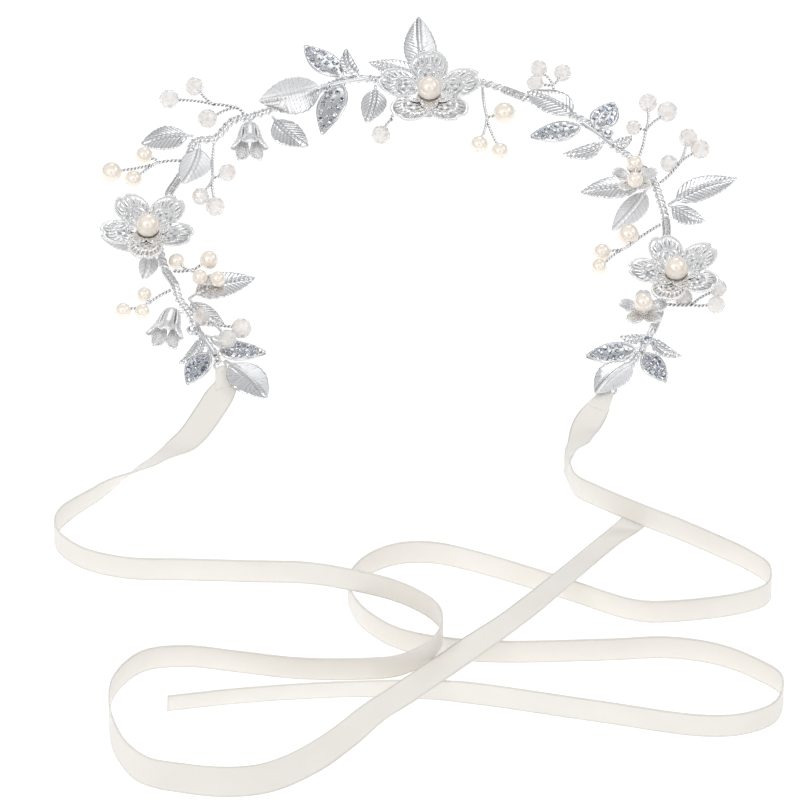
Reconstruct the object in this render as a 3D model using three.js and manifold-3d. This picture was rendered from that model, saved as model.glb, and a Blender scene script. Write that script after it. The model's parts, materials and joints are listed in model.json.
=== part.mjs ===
// Bridal flower crown: a bendable wire vine with cast leaves, filigree flowers,
// bead sprigs and two satin ribbon ties, laid out flat on a table.
// Millimetres, +X across, +Y towards the crown of the hoop, +Z up.
import * as THREE from 'three';
import { mergeVertices } from 'three/addons/utils/BufferGeometryUtils.js';
import Module from 'manifold-3d';

// ---- driving sizes ----
const HOOP_WIDTH = 170.5; // widest span of the stem, across
const HOOP_DEPTH = 147; // from the stem's tips to its top
const STEM_DIA = 2.6; // wrapped stem
const STEM_Z = 3.2; // height of the stem's centre line
const WIRE_DIA = 1.1; // twisted sprig wire
const LEAF_SCALE = 1; // leaf width
const LEAF_THICK = 0.7;
const BEAD_SCALE = 1; // pearls and crystals
const FLOWER_SCALE = 1; // filigree flowers
const CENTRE_PEARL_DIA = 8;
const RIBBON_WIDTH = 10;
const RIBBON_THICK = 0.5;

// ---- layout, drawn for a hoop 170.5 wide and 147 deep ----
const SX = HOOP_WIDTH / 170.5;
const SY = HOOP_DEPTH / 147;
// stem centre line, from the left tip over the top to the right tip
const STEM = [
  [-60.6, 14.6], [-61.6, 17.6], [-63, 20.5], [-68, 30], [-70, 36.5], [-74, 44.5], [-75.5, 51.5],
  [-78.5, 58], [-80, 64.5], [-81, 72.5], [-80, 84], [-77.5, 95.5], [-75, 101], [-71.5, 111.5],
  [-69, 120], [-62.5, 121.5], [-56.5, 130], [-50.5, 132], [-42.5, 136], [-25, 146.5],
  [-19.5, 149.5], [-8.5, 150], [0, 147], [10, 143], [20, 145], [26, 148.5], [35, 145],
  [42.5, 141], [52.5, 135.5], [62.5, 129.5], [70.5, 119.5], [77.5, 112], [84.5, 102.5],
  [87.5, 91.5], [89.5, 78.5], [88.5, 64], [88, 52], [87.5, 42], [85.5, 33], [83, 26.5],
  [80, 19.5], [75, 10], [71, 3],
];
// where the stem bends: share of its length from the left tip
const FLEX = [0.108, 0.221, 0.583, 0.805, 0.915];
const STEM_NAMES = ['stem_left_end', 'stem_left_arm', 'stem_centre', 'stem_right_shoulder',
  'stem_right_arm', 'stem_right_end'];
const STEM_GAP = 0.4; // between two lengths of stem

// leaves: name, share of the stem's length, then each leaf as
// [from, to, width, roll, hollow]: x and y from the stem, z from the table
const LEAVES = [
  ['end_leaf_left', 0.008, [[[3.2, -4.6, 5.6], [17.3, -21, 3.8], 12.5, 0]]],
  ['pale_leaf_left', 0.039, [[[2.4, 0, 1.9], [16.5, -5, 1.2], 6, 0]]],
  ['leaf_pair_left', 0.08, [[[3, 1.4, 2.9], [25, 11, 1.6], 11.5, 0],
    [[3, 1.4, 2.9], [15, -10.5, 1.4], 8.5, 0]]],
  ['leaf_pair_flower_left', 0.142, [[[-3.6, 1, 2.4], [-5.5, -11.5, 1], 6.5, 0],
    [[-3.6, 1, 2.4], [-20, 8.5, 1.8], 6, 0]]],
  ['leaf_upper_left_b', 0.279, [[[1.5, -4.5, 6], [-4, -23, 5.7], 10.5, 0]]],
  ['leaf_upper_left_a', 0.284, [[[-2.4, 2, 3.2], [-20, -1, 2], 11, 0]]],
  ['leaf_over_stem_left', 0.412, [[[0.5, -4.5, 8], [-22.5, -12, 8], 13, -28]]],
  ['leaf_below_left', 0.355, [[[1.4, -2.6, 3], [13.5, -15.5, 1], 10.5, 0]]],
  ['leaf_pair_centre', 0.505, [[[-0.5, 2.6, 5], [-3.5, 35.5, 4], 11, 0],
    [[-0.5, 2.6, 5], [-20.3, 11.5, 6.6], 8.5, 0]]],
  ['leaf_centre_low', 0.456, [[[0, -2.6, 2.8], [-3, -19, 1.2], 8.5, 0]]],
  ['leaf_over_stem_right', 0.652, [[[-2.6, -1.4, 6.6], [-19.5, 11, 6.2], 11, 0]]],
  ['leaf_pair_right_inner', 0.749, [[[-2.6, -0.6, 2.4], [-25, -2, 1.2], 10, 0],
    [[-2.6, -0.6, 2.4], [-14.5, -20, 1], 9, 0]]],
  ['leaf_pair_right_outer', 0.772, [[[2.4, -0.5, 3], [25.5, 11.5, 3], 10.5, 0],
    [[2.4, -0.5, 3], [14.5, -7, 1.2], 8, 0]]],
  ['end_leaf_right', 0.961, [[[0, -4, 6], [-13.5, -19.5, 5.4], 11, 0]]],
];

// cast branches: the stalk over the stem, the leaves on it and the round stone cup
const BRANCHES = [
  ['left_end_branch', 0.026, [-3, 4.5, 5.6], [3.5, -9, 5.6], [-4.5, 2.5, 6], [
    [[2.5, -7.5, 5.5], [20, -5, 3.4], 8.5, 0], [[2, -6, 5.5], [-6, -19, 2.6], 8.5, 0],
    [[-1.5, 1, 5.5], [-8.5, -10.5, 3], 4.5, 0]]],
  ['centre_left_branch', 0.427, [-4.5, -5, 5.6], [9, -1, 5.6], [-5, -7, 6], [
    [[2, -2.2, 5.6], [-12.5, 15.5, 4.5], 9.5, 0], [[1.5, -2.2, 5.6], [-6.5, -25, 2.6], 9.5, 0],
    [[7, -1.6, 5.6], [1.5, 11, 6.5], 5, 0]]],
  ['upper_right_branch', 0.668, [-5.5, 2, 5.6], [5.5, -9.5, 5.6], [3.5, -4.5, 6.2], [
    [[-3.5, 0, 5.6], [-22.5, -2.5, 3.4], 9, 0], [[-1.5, -2.5, 5.6], [5.5, 12, 5], 9.5, 0],
    [[3, -7, 5.6], [-11.5, -11.5, 3], 6, 0], [[4.5, -8.5, 5.6], [11.5, -5.5, 5.5], 4.5, 0]]],
  ['right_end_branch', 0.939, [2, 4, 5.6], [-2, -8, 5.6], [0.5, -3, 6.4], [
    [[-1.5, -6, 5.6], [-20, -7.5, 3.6], 9.5, 0], [[-1.5, -6.5, 5.6], [6.5, -18.5, 2.6], 8, 0],
    [[1, 0.5, 5.6], [-8.5, 0.5, 4], 4, 0], [[1, 0.5, 5.6], [11.5, -7.5, 2.6], 5, 0]]],
];

// bead sprigs: forks of the wire, then beads as [x, y, z, radius, fork]
const SPRIGS = [
  ['crystals_left_end', 0.051, [[6, -2.5, 6]],
    [[2.7, -3.9, 9.9, 3, 0], [11.3, -14.3, 10, 3.2, 0], [16, -6.4, 7.2, 3.4, 0]]],
  ['pearls_left_low', 0.097, [[-9, -8, 3.4]],
    [[-10.5, -3.5, 3, 2.7, 0], [-17.5, -11, 3, 2.8, 0], [-11, -11.5, 3, 2.7, 0]]],
  ['pearls_left_mid', 0.118, [[8, -1.5, 5]],
    [[14.5, 1.5, 7, 3.2, 0], [11.5, -7, 7.2, 2.7, 0], [17.5, -7.5, 6.9, 2.7, 0],
      [3.6, 4.4, 3.4, 2.8, 0]]],
  ['pearls_upper_left', 0.255, [[-9.5, -1, 3.2]],
    [[-14.5, 2.5, 3.2, 3, 0], [-25.5, -6.5, 3.9, 3.7, 0], [-18, -9, 3.2, 3, 0]]],
  ['crystals_left_inner', 0.296, [[-0.5, -19, 3.4]],
    [[4.5, -16.5, 3.3, 3, 0], [-4.5, -28, 3.3, 3, 0], [0.5, -33, 3.5, 3.3, 0]]],
  ['crystals_left_outer', 0.336, [[-4, 4.5, 3.4], [-11.5, 6, 3.4]],
    [[-26.5, 8.5, 3.6, 3.3, 1], [-18, 14.5, 3.6, 3.2, 1], [-13.5, -1, 3.6, 3.3, 0]]],
  ['crystal_centre', 0.481, [[-4, -16, 3]], [[-7.5, -23.5, 3.4, 3.2, 0]]],
  ['pearls_centre_right', 0.553, [[1.5, -16.5, 3.4]],
    [[7.5, -15.5, 4, 3.8, 0], [-1, -30, 3.3, 3.1, 0], [6, -33, 3.2, 3, 0]]],
  ['crystals_right_a', 0.623, [[-1, 11.5, 3.6]],
    [[-5.5, 19.5, 3.4, 3, 0], [-6.8, 12.5, 3.4, 2.8, 0], [2.5, 17.5, 3.4, 3, 0]]],
  ['crystals_right_b', 0.719, [[3, 15, 4]],
    [[4, 29, 3.6, 3.2, 0], [10.5, 24.5, 3.8, 3.5, 0], [-1, 17, 3.6, 2.6, 0]]],
  ['crystals_right_c', 0.752, [[7.5, 10, 4]],
    [[11, 23.5, 3.6, 3.2, 0], [15, 18, 3.6, 3.3, 0], [4.5, 11, 3.6, 3, 0]]],
  ['pearls_right_inner', 0.793, [[-13, -13, 3.6]],
    [[-12.5, -7.5, 4, 3.7, 0], [-21.5, -15, 3.2, 3, 0], [-22.5, -22, 3.2, 2.8, 0]]],
  ['crystals_right_low', 0.893, [[10, -0.5, 3.4]],
    [[7.4, 2.8, 3.2, 3.1, 0], [19, 7.5, 3.4, 3, 0], [18.3, -0.5, 3.4, 3, 0]]],
];

// filigree flowers: name, share, centre from the stem, radius, turn of the first petal
const FLOWERS = [
  ['flower_left', 0.16, [-3.6, -2.2], 16.8, 50],
  ['flower_centre', 0.505, [0, -5], 18.6, 90],
  ['flower_right', 0.847, [4.1, -8.7], 16.6, 38],
];
const PETAL_Z = 5.3; // underside of the petals at their middle
const CUP_RISE = 5.7; // of the petals' rims above it
const PETAL_BOW = 0.9; // below 1 the cup is steeper at its middle than at its rim
const PEARL_Z = 10.7; // centre of the middle pearl
const BASE_R = 4.2; // flat backing disc
const BASE_T = 1.2;
const POST_R = 1.2;

// small open flowers over the stem: name, share, centre, radius, z, the filigree flower they clear
const CUPS = [
  ['cup_flower_high', 0.728, [-3, -7], 8, 5.1, 'flower_centre'],
  ['cup_flower_low', 0.897, [-5.9, -4], 8.5, 5.1, 'flower_right'],
];
// bell flowers: name, share, calyx, mouth, mouth radius
const BELLS = [
  ['bell_flower_low', 0.064, [-5.5, -1.5, 5.4], [-8, -14.5, 5.4], 5.2],
  ['bell_flower_high', 0.338, [0, -6.5, 5.4], [0, -19, 5.4], 5.2],
];

// ribbon routes: x, y, z of the centre line and the lean from flat, in degrees
const RIBBON_LEFT = [
  [-57.8, 4.9, 2.6, 0], [-64, -8, 1.4, 0], [-70.5, -20, 1.4, 5], [-81.5, -32, 3.3, 35],
  [-100.5, -49, 5.2, 80], [-113, -61.5, 5.3, 90], [-114, -69, 5.3, 90], [-106.5, -78, 5.3, 90],
  [-91.5, -83.5, 5.3, 90], [-70, -84.5, 5.3, 90], [-48.5, -86, 6, 90], [-32, -92.5, 12, 90],
  [-20, -98.5, 15.8, 90], [0, -105.5, 15.9, 90], [12, -115, 15.9, 90], [14, -123, 15.9, 90],
  [10, -132, 15.9, 90], [0, -133, 9.8, 90], [-15, -130.5, 5.4, 90], [-34, -130, 5.3, 90],
  [-53.5, -127, 5.3, 90], [-71, -124.5, 5.3, 90], [-85, -127, 5.3, 90], [-94, -138, 5.3, 90],
  [-95.5, -150, 5.3, 90], [-92, -166, 5.1, 80], [-84, -176, 4.8, 68], [-71, -179.5, 4.4, 58],
  [-57, -181, 4.2, 50], [-44, -178.5, 3.4, 40], [-30, -170, 2.8, 24], [-18, -160, 4, 10],
  [-8.5, -153, 8, 2], [0, -148.5, 11.2, 0], [22.5, -127.5, 11.6, -3],
  [38.5, -113, 12.6, -12], [56, -94, 13.4, -20], [68, -74, 7, -20],
  [75.5, -62, 2.6, -14], [79.5, -56.5, 2, -10],
];
const RIBBON_RIGHT = [
  [66.2, -5.4, 2.6, 0], [62.5, -13.5, 2.6, 4], [59.5, -24.5, 4.4, 32], [56.5, -35, 7, 68],
  [56.2, -43, 9, 88], [58.5, -50, 10, 90], [65, -55, 10.3, 90], [80, -64, 10.4, 90],
  [92, -69.5, 9.4, 90], [105, -75, 7, 90], [115, -80, 5.4, 90], [122, -87, 5.3, 90],
  [121.5, -95, 5.3, 90], [114, -99.5, 5.3, 90], [86.5, -104, 5.3, 90],
  [76.5, -103, 5.3, 90], [55, -93.5, 5.3, 90], [25.5, -81, 5.3, 90],
  [10, -76.5, 5.3, 90], [-2, -77.5, 5.3, 90], [-12, -83.5, 5.3, 90], [-17, -93, 5.3, 90],
  [-14.5, -103, 5.3, 90], [-8, -111, 5.3, 90], [1, -117, 5.3, 90],
  [24.5, -122, 5.3, 90], [68, -121.5, 5.3, 90], [88, -120.5, 5.3, 90],
  [104, -123.5, 5.3, 90], [116, -129.5, 5.3, 90], [125.5, -138, 5.3, 90],
  [123.5, -149.5, 5.3, 90], [114.5, -155, 5.3, 90], [101, -156.5, 5.3, 90],
  [63.5, -149.5, 5.3, 90],
  [23.5, -141.5, 5.3, 90], [10, -140, 5.3, 84], [-17.5, -139.5, 5.1, 76],
  [-53, -142.5, 5.1, 75], [-76.5, -146, 5.1, 75],
];

// ---- geometry helpers ----
const wasm = await Module();
wasm.setup();
const V = (x, y, z) => new THREE.Vector3(x, y, z);
const UP = V(0, 0, 1);

// merges shared vertices and turns the faces outwards
function closed(geometry) {
  geometry.deleteAttribute('normal');
  geometry.deleteAttribute('uv');
  const g = mergeVertices(geometry, 1e-5);
  const p = g.getAttribute('position');
  const index = g.getIndex().array;
  const a = V(), b = V(), c = V();
  let volume = 0;
  for (let i = 0; i < index.length; i += 3) {
    a.fromBufferAttribute(p, index[i]);
    b.fromBufferAttribute(p, index[i + 1]);
    c.fromBufferAttribute(p, index[i + 2]);
    volume += a.dot(b.cross(c));
  }
  if (volume < 0) {
    for (let i = 0; i < index.length; i += 3) [index[i], index[i + 1]] = [index[i + 1], index[i]];
  }
  return g;
}

// joins closed geometries into one body
function join(list) {
  const solids = list.map((g) => new wasm.Manifold(new wasm.Mesh({
    numProp: 3,
    vertProperties: new Float32Array(g.getAttribute('position').array),
    triVerts: new Uint32Array(g.getIndex().array),
  })));
  const mesh = solids.reduce((a, b) => a.add(b)).getMesh();
  const g = new THREE.BufferGeometry();
  g.setAttribute('position', new THREE.BufferAttribute(mesh.vertProperties, 3));
  g.setIndex(new THREE.BufferAttribute(mesh.triVerts, 1));
  return g;
}

// a body through rings of points: ends capped, or the last ring joined to the first
function loft(rings, ringed = false) {
  const n = rings[0].length;
  const position = rings.flat().flatMap((p) => [p.x, p.y, p.z]);
  const index = [];
  const last = ringed ? rings.length : rings.length - 1;
  for (let i = 0; i < last; i++) {
    const j = (i + 1) % rings.length;
    for (let k = 0; k < n; k++) {
      const m = (k + 1) % n;
      index.push(i * n + k, j * n + k, j * n + m, i * n + k, j * n + m, i * n + m);
    }
  }
  if (!ringed) {
    const e = (rings.length - 1) * n;
    for (let k = 1; k < n - 1; k++) index.push(0, k, k + 1, e, e + k + 1, e + k);
  }
  const g = new THREE.BufferGeometry();
  g.setAttribute('position', new THREE.Float32BufferAttribute(position, 3));
  g.setIndex(index);
  return closed(g);
}

// a tube along a curve
function tube(curve, radius, steps, sides) {
  const shape = new THREE.Shape();
  for (let k = 0; k < sides; k++) {
    const t = (2 * Math.PI * k) / sides;
    const x = radius * Math.cos(t);
    const y = radius * Math.sin(t);
    if (k) shape.lineTo(x, y);
    else shape.moveTo(x, y);
  }
  shape.closePath();
  return closed(new THREE.ExtrudeGeometry(shape, { steps, bevelEnabled: false, extrudePath: curve }));
}

function bead(centre, radius, across = 8, down = 5) {
  return closed(new THREE.SphereGeometry(radius, across, down)
    .translate(centre.x, centre.y, centre.z));
}

function ring(centre, axis, radius, wire, around = 12) {
  const g = new THREE.TorusGeometry(radius, wire, 5, around);
  g.applyQuaternion(new THREE.Quaternion().setFromUnitVectors(UP, axis.clone().normalize()));
  return closed(g.translate(centre.x, centre.y, centre.z));
}

// leaf blade: a thin stalk that opens into a pointed, toothed, slightly arched blade
function leaf(from, to, width, roll, thick = LEAF_THICK) {
  const along = to.clone().sub(from);
  const length = along.length();
  along.divideScalar(length);
  const side = UP.clone().cross(along).normalize();
  side.applyAxisAngle(along, (roll * Math.PI) / 180);
  const top = along.clone().cross(side).normalize();
  const steps = 8;
  const rings = [];
  for (let i = 0; i <= steps; i++) {
    const s = i / steps;
    const t = Math.max(0, (s - 0.12) / 0.88);
    const blade = Math.pow(Math.sin(Math.PI * Math.pow(t, 0.8)), 0.8) || 0;
    const tooth = i > 1 && i < steps ? 1 + 0.05 * (i % 2) : 1;
    const half = Math.max(0.45 * (1 - 0.5 * s), 0.5 * width * LEAF_SCALE * blade * tooth);
    const lift = 0.05 * length * Math.sin(Math.PI * s);
    const drop = 0.14 * half;
    const mid = from.clone().addScaledVector(along, s * length).addScaledVector(top, lift);
    const at = (x, y) => mid.clone().addScaledVector(side, x).addScaledVector(top, y);
    const h = thick / 2;
    rings.push([at(-half, h - drop), at(0, h), at(half, h - drop),
      at(half, -h - drop), at(0, -h), at(-half, -h - drop)]);
  }
  return loft(rings);
}

// an open flower of five notched petals round a hole, cupped upwards
function petals(cx, cy, inner, outer, z, cup, turn, around, across, thick = 0.8, bow = 1.6) {
  const rings = [];
  for (let i = 0; i < around; i++) {
    const a = (2 * Math.PI * i) / around;
    const phase = Math.cos(5 * (a - (turn * Math.PI) / 180));
    const notch = 0.05 * Math.exp(-Math.pow((1 - phase) / 0.08, 2));
    const reach = outer * (0.64 + 0.36 * Math.pow((1 + phase) / 2, 0.45) - notch);
    const point = (r, dz) => V(cx + r * Math.cos(a), cy + r * Math.sin(a), z + dz
      + cup * Math.pow(r / outer, bow));
    const line = [];
    for (let k = 0; k <= across; k++) line.push(inner + ((reach - inner) * k) / across);
    rings.push([...line.map((r) => point(r, 0)), ...line.reverse().map((r) => point(r, thick))]);
  }
  return loft(rings, true);
}

// bell: five petals flaring along an axis
function bell(from, to, mouth) {
  const axis = to.clone().sub(from);
  const length = axis.length();
  axis.divideScalar(length);
  const side = UP.clone().cross(axis).normalize();
  const up = axis.clone().cross(side);
  const around = 15;
  const rings = [];
  for (let i = 0; i < around; i++) {
    const a = (2 * Math.PI * i) / around;
    const lobe = 0.5 + 0.5 * Math.cos(5 * a);
    const reach = 0.72 + 0.28 * lobe;
    const profile = [[0, 1.4], [0.4, 3.4], [reach, mouth], [reach, mouth - 0.7],
      [0.4, 2.6], [0, 0.5]];
    rings.push(profile.map(([s, r]) => from.clone().addScaledVector(axis, s * length)
      .addScaledVector(side, r * Math.cos(a)).addScaledVector(up, r * Math.sin(a))));
  }
  return loft(rings, true);
}

// a route point: near the stem's tip it keeps its distance from it, further out it scales
function laid([x, y, z], [tx, ty]) {
  const w = THREE.MathUtils.smoothstep(Math.hypot(x - tx, y - ty), 12, 80);
  return V(tx * SX + (x - tx) * (1 + (SX - 1) * w), ty * SY + (y - ty) * (1 + (SY - 1) * w), z);
}

// ribbon: a flat band along a route that leans from lying flat to standing on its edge
function ribbon(route, tip, steps) {
  const curve = new THREE.CatmullRomCurve3(route.map((p) => laid(p, tip)), false, 'centripetal');
  const lean = new THREE.CatmullRomCurve3(route.map((p) => V(p[3], 0, 0)), false, 'centripetal');
  curve.arcLengthDivisions = 1200;
  const rings = [];
  for (let i = 0; i <= steps; i++) {
    const t = curve.getUtoTmapping(i / steps);
    const p = curve.getPoint(t);
    const d = curve.getTangent(t).setZ(0).normalize();
    const k = Math.min(route.length - 2, Math.floor(t * (route.length - 1)));
    const f = t * (route.length - 1) - k;
    const e = f * f * (3 - 2 * f);
    const a = ((route[k][3] * (1 - e) + route[k + 1][3] * e) * Math.PI) / 180;
    const across = UP.clone().cross(d).multiplyScalar(Math.cos(a)).addScaledVector(UP, Math.sin(a));
    const face = d.clone().cross(across).normalize();
    const w = RIBBON_WIDTH / 2;
    const h = RIBBON_THICK / 2;
    rings.push([[-w, -h], [w, -h], [w, h], [-w, h]].map(([x, y]) => p.clone()
      .addScaledVector(across, x).addScaledVector(face, y)));
  }
  return loft(rings);
}

// ---- the stem's curve ----
const stem = new THREE.CatmullRomCurve3(STEM.map(([x, y]) => V(x * SX, y * SY, STEM_Z)));
stem.arcLengthDivisions = 1200;
const STEM_LENGTH = stem.getLength();
// the stem as it was laid out, before it is widened or deepened
const plain = new THREE.CatmullRomCurve3(STEM.map(([x, y]) => V(x, y, STEM_Z)));
plain.arcLengthDivisions = 1200;
// the place on the sized stem that matches a share of the layout's, and how far it has turned
function place(share) {
  const t = plain.getUtoTmapping(share);
  const was = plain.getTangent(t);
  const tangent = stem.getTangent(t);
  const turn = Math.atan2(tangent.y, tangent.x) - Math.atan2(was.y, was.x);
  return { point: stem.getPoint(t), tangent, turn };
}
// that place as a share of the sized stem's own length
function shareOf(share) {
  const lengths = stem.getLengths();
  const i = plain.getUtoTmapping(share) * stem.arcLengthDivisions;
  const k = Math.min(Math.floor(i), stem.arcLengthDivisions - 1);
  return (lengths[k] + (lengths[k + 1] - lengths[k]) * (i - k)) / lengths[lengths.length - 1];
}
// a point given from the stem: x and y from its centre line, turning with it, z from the table
function from(share, [x, y, z = STEM_Z]) {
  const { point, turn } = place(share);
  const c = Math.cos(turn);
  const s = Math.sin(turn);
  return V(point.x + c * x - s * y, point.y + s * x + c * y, z);
}
// a centre that keeps its distance from a filigree flower that grows
function beside(share, centre, flower) {
  const c = from(share, [...centre, 0]);
  const [, at, middle, radius] = FLOWERS.find(([name]) => name === flower);
  const away = c.clone().sub(from(at, [...middle, 0])).normalize();
  return c.addScaledVector(away, radius * (FLOWER_SCALE - 1));
}
// where a wire that leaves the stem at this angle starts, just clear of it
function clear(share, centre, way) {
  const slant = way.dot(place(share).tangent);
  const square = Math.sqrt(1 - slant * slant);
  const far = (STEM_DIA / 2 + 0.45 + (WIRE_DIA / 2) * Math.abs(slant)) / square;
  return centre.clone().addScaledVector(way, far);
}
class Part extends THREE.Curve {
  constructor(a, b) {
    super();
    this.a = a;
    this.b = b;
  }
  getPoint(t, target = V()) {
    return target.copy(stem.getPointAt(this.a + (this.b - this.a) * t));
  }
}

// ---- materials ----
const silver = () => new THREE.MeshStandardMaterial({ color: 0xd9dadc, roughness: 0.28, metalness: 1 });
const wire = () => new THREE.MeshStandardMaterial({ color: 0xc9cacd, roughness: 0.35, metalness: 1 });
const pearl = () => new THREE.MeshStandardMaterial({ color: 0xf7ecdf, roughness: 0.22, metalness: 0 });
const crystal = () => new THREE.MeshStandardMaterial({ color: 0xf6ece8, roughness: 0.05, metalness: 0 });
const satin = () => new THREE.MeshStandardMaterial({ color: 0xf3efe8, roughness: 0.45, metalness: 0 });

const group = new THREE.Group();
group.name = 'flower_crown';
function add(name, geometry, material, hinge) {
  geometry.computeVertexNormals();
  const mesh = new THREE.Mesh(geometry, material);
  mesh.name = name;
  if (hinge) mesh.userData.hinge = hinge; // where the wire bends and about which axis
  group.add(mesh);
}

// stem: lengths of wrapped wire, each tapered where it bends; an eyelet at each tip
const cuts = [0, ...FLEX.map(shareOf), 1];
const EYE_R = 2;
const EYE_WIRE = 0.5;
for (let i = 0; i < STEM_NAMES.length; i++) {
  const gap = STEM_GAP / 2 / STEM_LENGTH;
  const a = cuts[i] + (i ? gap : 0);
  const b = cuts[i + 1] - (i < STEM_NAMES.length - 1 ? gap : 0);
  const piece = new Part(a, b);
  const n = Math.max(6, Math.round(((b - a) * STEM_LENGTH) / 4.5));
  const rings = [];
  for (let k = 0; k <= n; k++) {
    const t = k / n;
    const p = piece.getPoint(t);
    const d = stem.getTangentAt(a + (b - a) * t).normalize();
    const side = UP.clone().cross(d).normalize();
    const r = (STEM_DIA / 2) * (k === 0 || k === n ? 0.6 : 1);
    rings.push([0, 1, 2, 3, 4, 5].map((s) => p.clone()
      .addScaledVector(side, r * Math.cos((s * Math.PI) / 3))
      .addScaledVector(UP, r * Math.sin((s * Math.PI) / 3))));
  }
  const bodies = [loft(rings)];
  if (i === 0 || i === STEM_NAMES.length - 1) {
    const share = i ? 1 : 0;
    const out = stem.getTangentAt(share).multiplyScalar(i ? 1 : -1);
    const centre = stem.getPointAt(share).addScaledVector(out, EYE_R);
    bodies.push(ring(centre, UP, EYE_R, EYE_WIRE));
  }
  add(STEM_NAMES[i], join(bodies), wire(), { at: stem.getPointAt(cuts[i]), axis: UP });
}

// leaves
for (const [name, share, blades] of LEAVES) {
  const list = blades.map(([a, b, w, roll]) => leaf(from(share, a), from(share, b), w, roll));
  add(name, list.length > 1 ? join(list) : list[0], silver());
}

// cast branches with stone-set leaves and a round cup
for (const [name, share, start, end, cup, blades] of BRANCHES) {
  const a = from(share, start);
  const b = from(share, end);
  const list = [tube(new THREE.LineCurve3(a, b), 0.8, 1, 8)];
  for (const [p, q, w, roll] of blades) list.push(leaf(from(share, p), from(share, q), w, roll, 1.1));
  const c = from(share, cup);
  const setting = new THREE.CylinderGeometry(2.1, 1.7, 1.7, 10).rotateX(Math.PI / 2);
  list.push(closed(setting.translate(c.x, c.y, c.z + 0.1)));
  add(name, join(list), silver());
}

// bead sprigs: twisted wire with a bead on each end
function sprig(share, forks, beads) {
  const points = forks.map((p) => from(share, p));
  const centre = from(share, [0, 0]);
  const way = points[0].clone().sub(centre).normalize();
  const root = clear(share, centre, way);
  const list = [];
  let last = root;
  for (const p of points) {
    list.push(tube(new THREE.LineCurve3(last, p), WIRE_DIA / 2, 1, 5));
    last = p;
  }
  for (const [x, y, z, r, fork] of beads) {
    const c = from(share, [x, y, z]);
    list.push(tube(new THREE.LineCurve3(points[fork], c), WIRE_DIA / 2, 1, 5));
    list.push(bead(c, r * BEAD_SCALE));
  }
  const level = way.clone().setZ(0).normalize();
  return [join(list), { at: root, axis: level.cross(UP) }];
}
for (const [name, share, forks, beads] of SPRIGS) {
  const [geometry, hinge] = sprig(share, forks, beads);
  add(name, geometry, name.startsWith('pearl') ? pearl() : crystal(), hinge);
}

// filigree flowers: backing disc with a post, cupped petals, inner rosette and pearl
for (const [name, share, centre, radius, turn] of FLOWERS) {
  const c = from(share, [...centre, 0]);
  const r = radius * FLOWER_SCALE;
  const post = PEARL_Z - CENTRE_PEARL_DIA / 2 - 0.3;
  const base = new THREE.LatheGeometry([[0, 0], [BASE_R, 0], [BASE_R, BASE_T], [POST_R, BASE_T],
    [POST_R, post], [0, post]].map(([x, y]) => new THREE.Vector2(x, y)), 16);
  add(`${name}_base`, closed(base.rotateX(Math.PI / 2).translate(c.x, c.y, 0)), silver());
  add(`${name}_petals`, petals(c.x, c.y, POST_R + 0.4, r, PETAL_Z, CUP_RISE, turn, 30, 3, 0.8,
    PETAL_BOW), silver());
  const inside = CENTRE_PEARL_DIA / 2 + 0.4;
  add(`${name}_rosette`, petals(c.x, c.y, inside, inside + 0.24 * r, 7.1, 3, turn + 36, 20, 2, 0.6),
    silver());
  add(`${name}_pearl`, bead(V(c.x, c.y, PEARL_Z), CENTRE_PEARL_DIA / 2, 12, 8), pearl());
}

// small open flowers over the stem, each with its pearls on a wire
for (const [name, share, centre, radius, z, flower] of CUPS) {
  const c = beside(share, centre, flower);
  add(name, petals(c.x, c.y, 1, radius, z, 2, 90, 20, 2, 0.7), silver());
}
const high = beside(CUPS[0][1], CUPS[0][2], CUPS[0][5]);
add('cup_flower_high_pearls', join([
  bead(V(high.x, high.y + 3.6, 9.4), 2.7), bead(V(high.x, high.y - 4.4, 9.6), 2.7),
  tube(new THREE.LineCurve3(V(high.x, high.y + 3.6, 9.4), V(high.x, high.y - 4.4, 9.6)),
    WIRE_DIA / 2, 1, 5)]), pearl());
const low = beside(CUPS[1][1], CUPS[1][2], CUPS[1][5]);
add('cup_flower_low_pearl', bead(V(low.x, low.y, 9.5), 3.3, 12, 8), pearl());

// bell flowers on short wires
for (const [name, share, calyx, mouth, radius] of BELLS) {
  const a = from(share, calyx);
  const b = from(share, mouth);
  const centre = from(share, [0, 0]);
  const root = clear(share, centre, a.clone().sub(centre).normalize());
  const into = b.clone().sub(a).normalize();
  const end = a.clone().addScaledVector(into, 2);
  add(name, join([bell(a, b, radius), tube(new THREE.LineCurve3(root, end), 0.75, 1, 6)]), silver());
}

// ribbon knots: a loop through the eyelet and the tied knot beyond it
for (const side of [0, 1]) {
  const out = stem.getTangentAt(side).multiplyScalar(side ? 1 : -1).setZ(0).normalize();
  const eye = stem.getPointAt(side).addScaledVector(out, EYE_R);
  const across = UP.clone().cross(out);
  const strap = ring(eye.clone().addScaledVector(out, EYE_R), across, 1.35, 0.4, 10);
  const k = eye.clone().addScaledVector(out, EYE_R + 2.4);
  const knot = closed(new THREE.SphereGeometry(1, 10, 6).scale(3.4, 1.7, 1.6)
    .rotateZ(Math.atan2(across.y, across.x)).translate(k.x, k.y, k.z - 0.6));
  add(side ? 'knot_right' : 'knot_left', join([strap, knot]), satin());
}
add('ribbon_left', ribbon(RIBBON_LEFT, STEM[0], 80), satin());
add('ribbon_right', ribbon(RIBBON_RIGHT, STEM[STEM.length - 1], 80), satin());

// origin: middle of the vine's own footprint, on the table; the ties run on past it
const vine = new THREE.Box3();
for (const mesh of group.children) {
  if (/^(ribbon|knot)/.test(mesh.name)) continue;
  mesh.geometry.computeBoundingBox();
  vine.union(mesh.geometry.boundingBox);
}
const middle = vine.getCenter(V());
group.position.set(-middle.x, -middle.y, -vine.min.z);

export default group;
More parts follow.
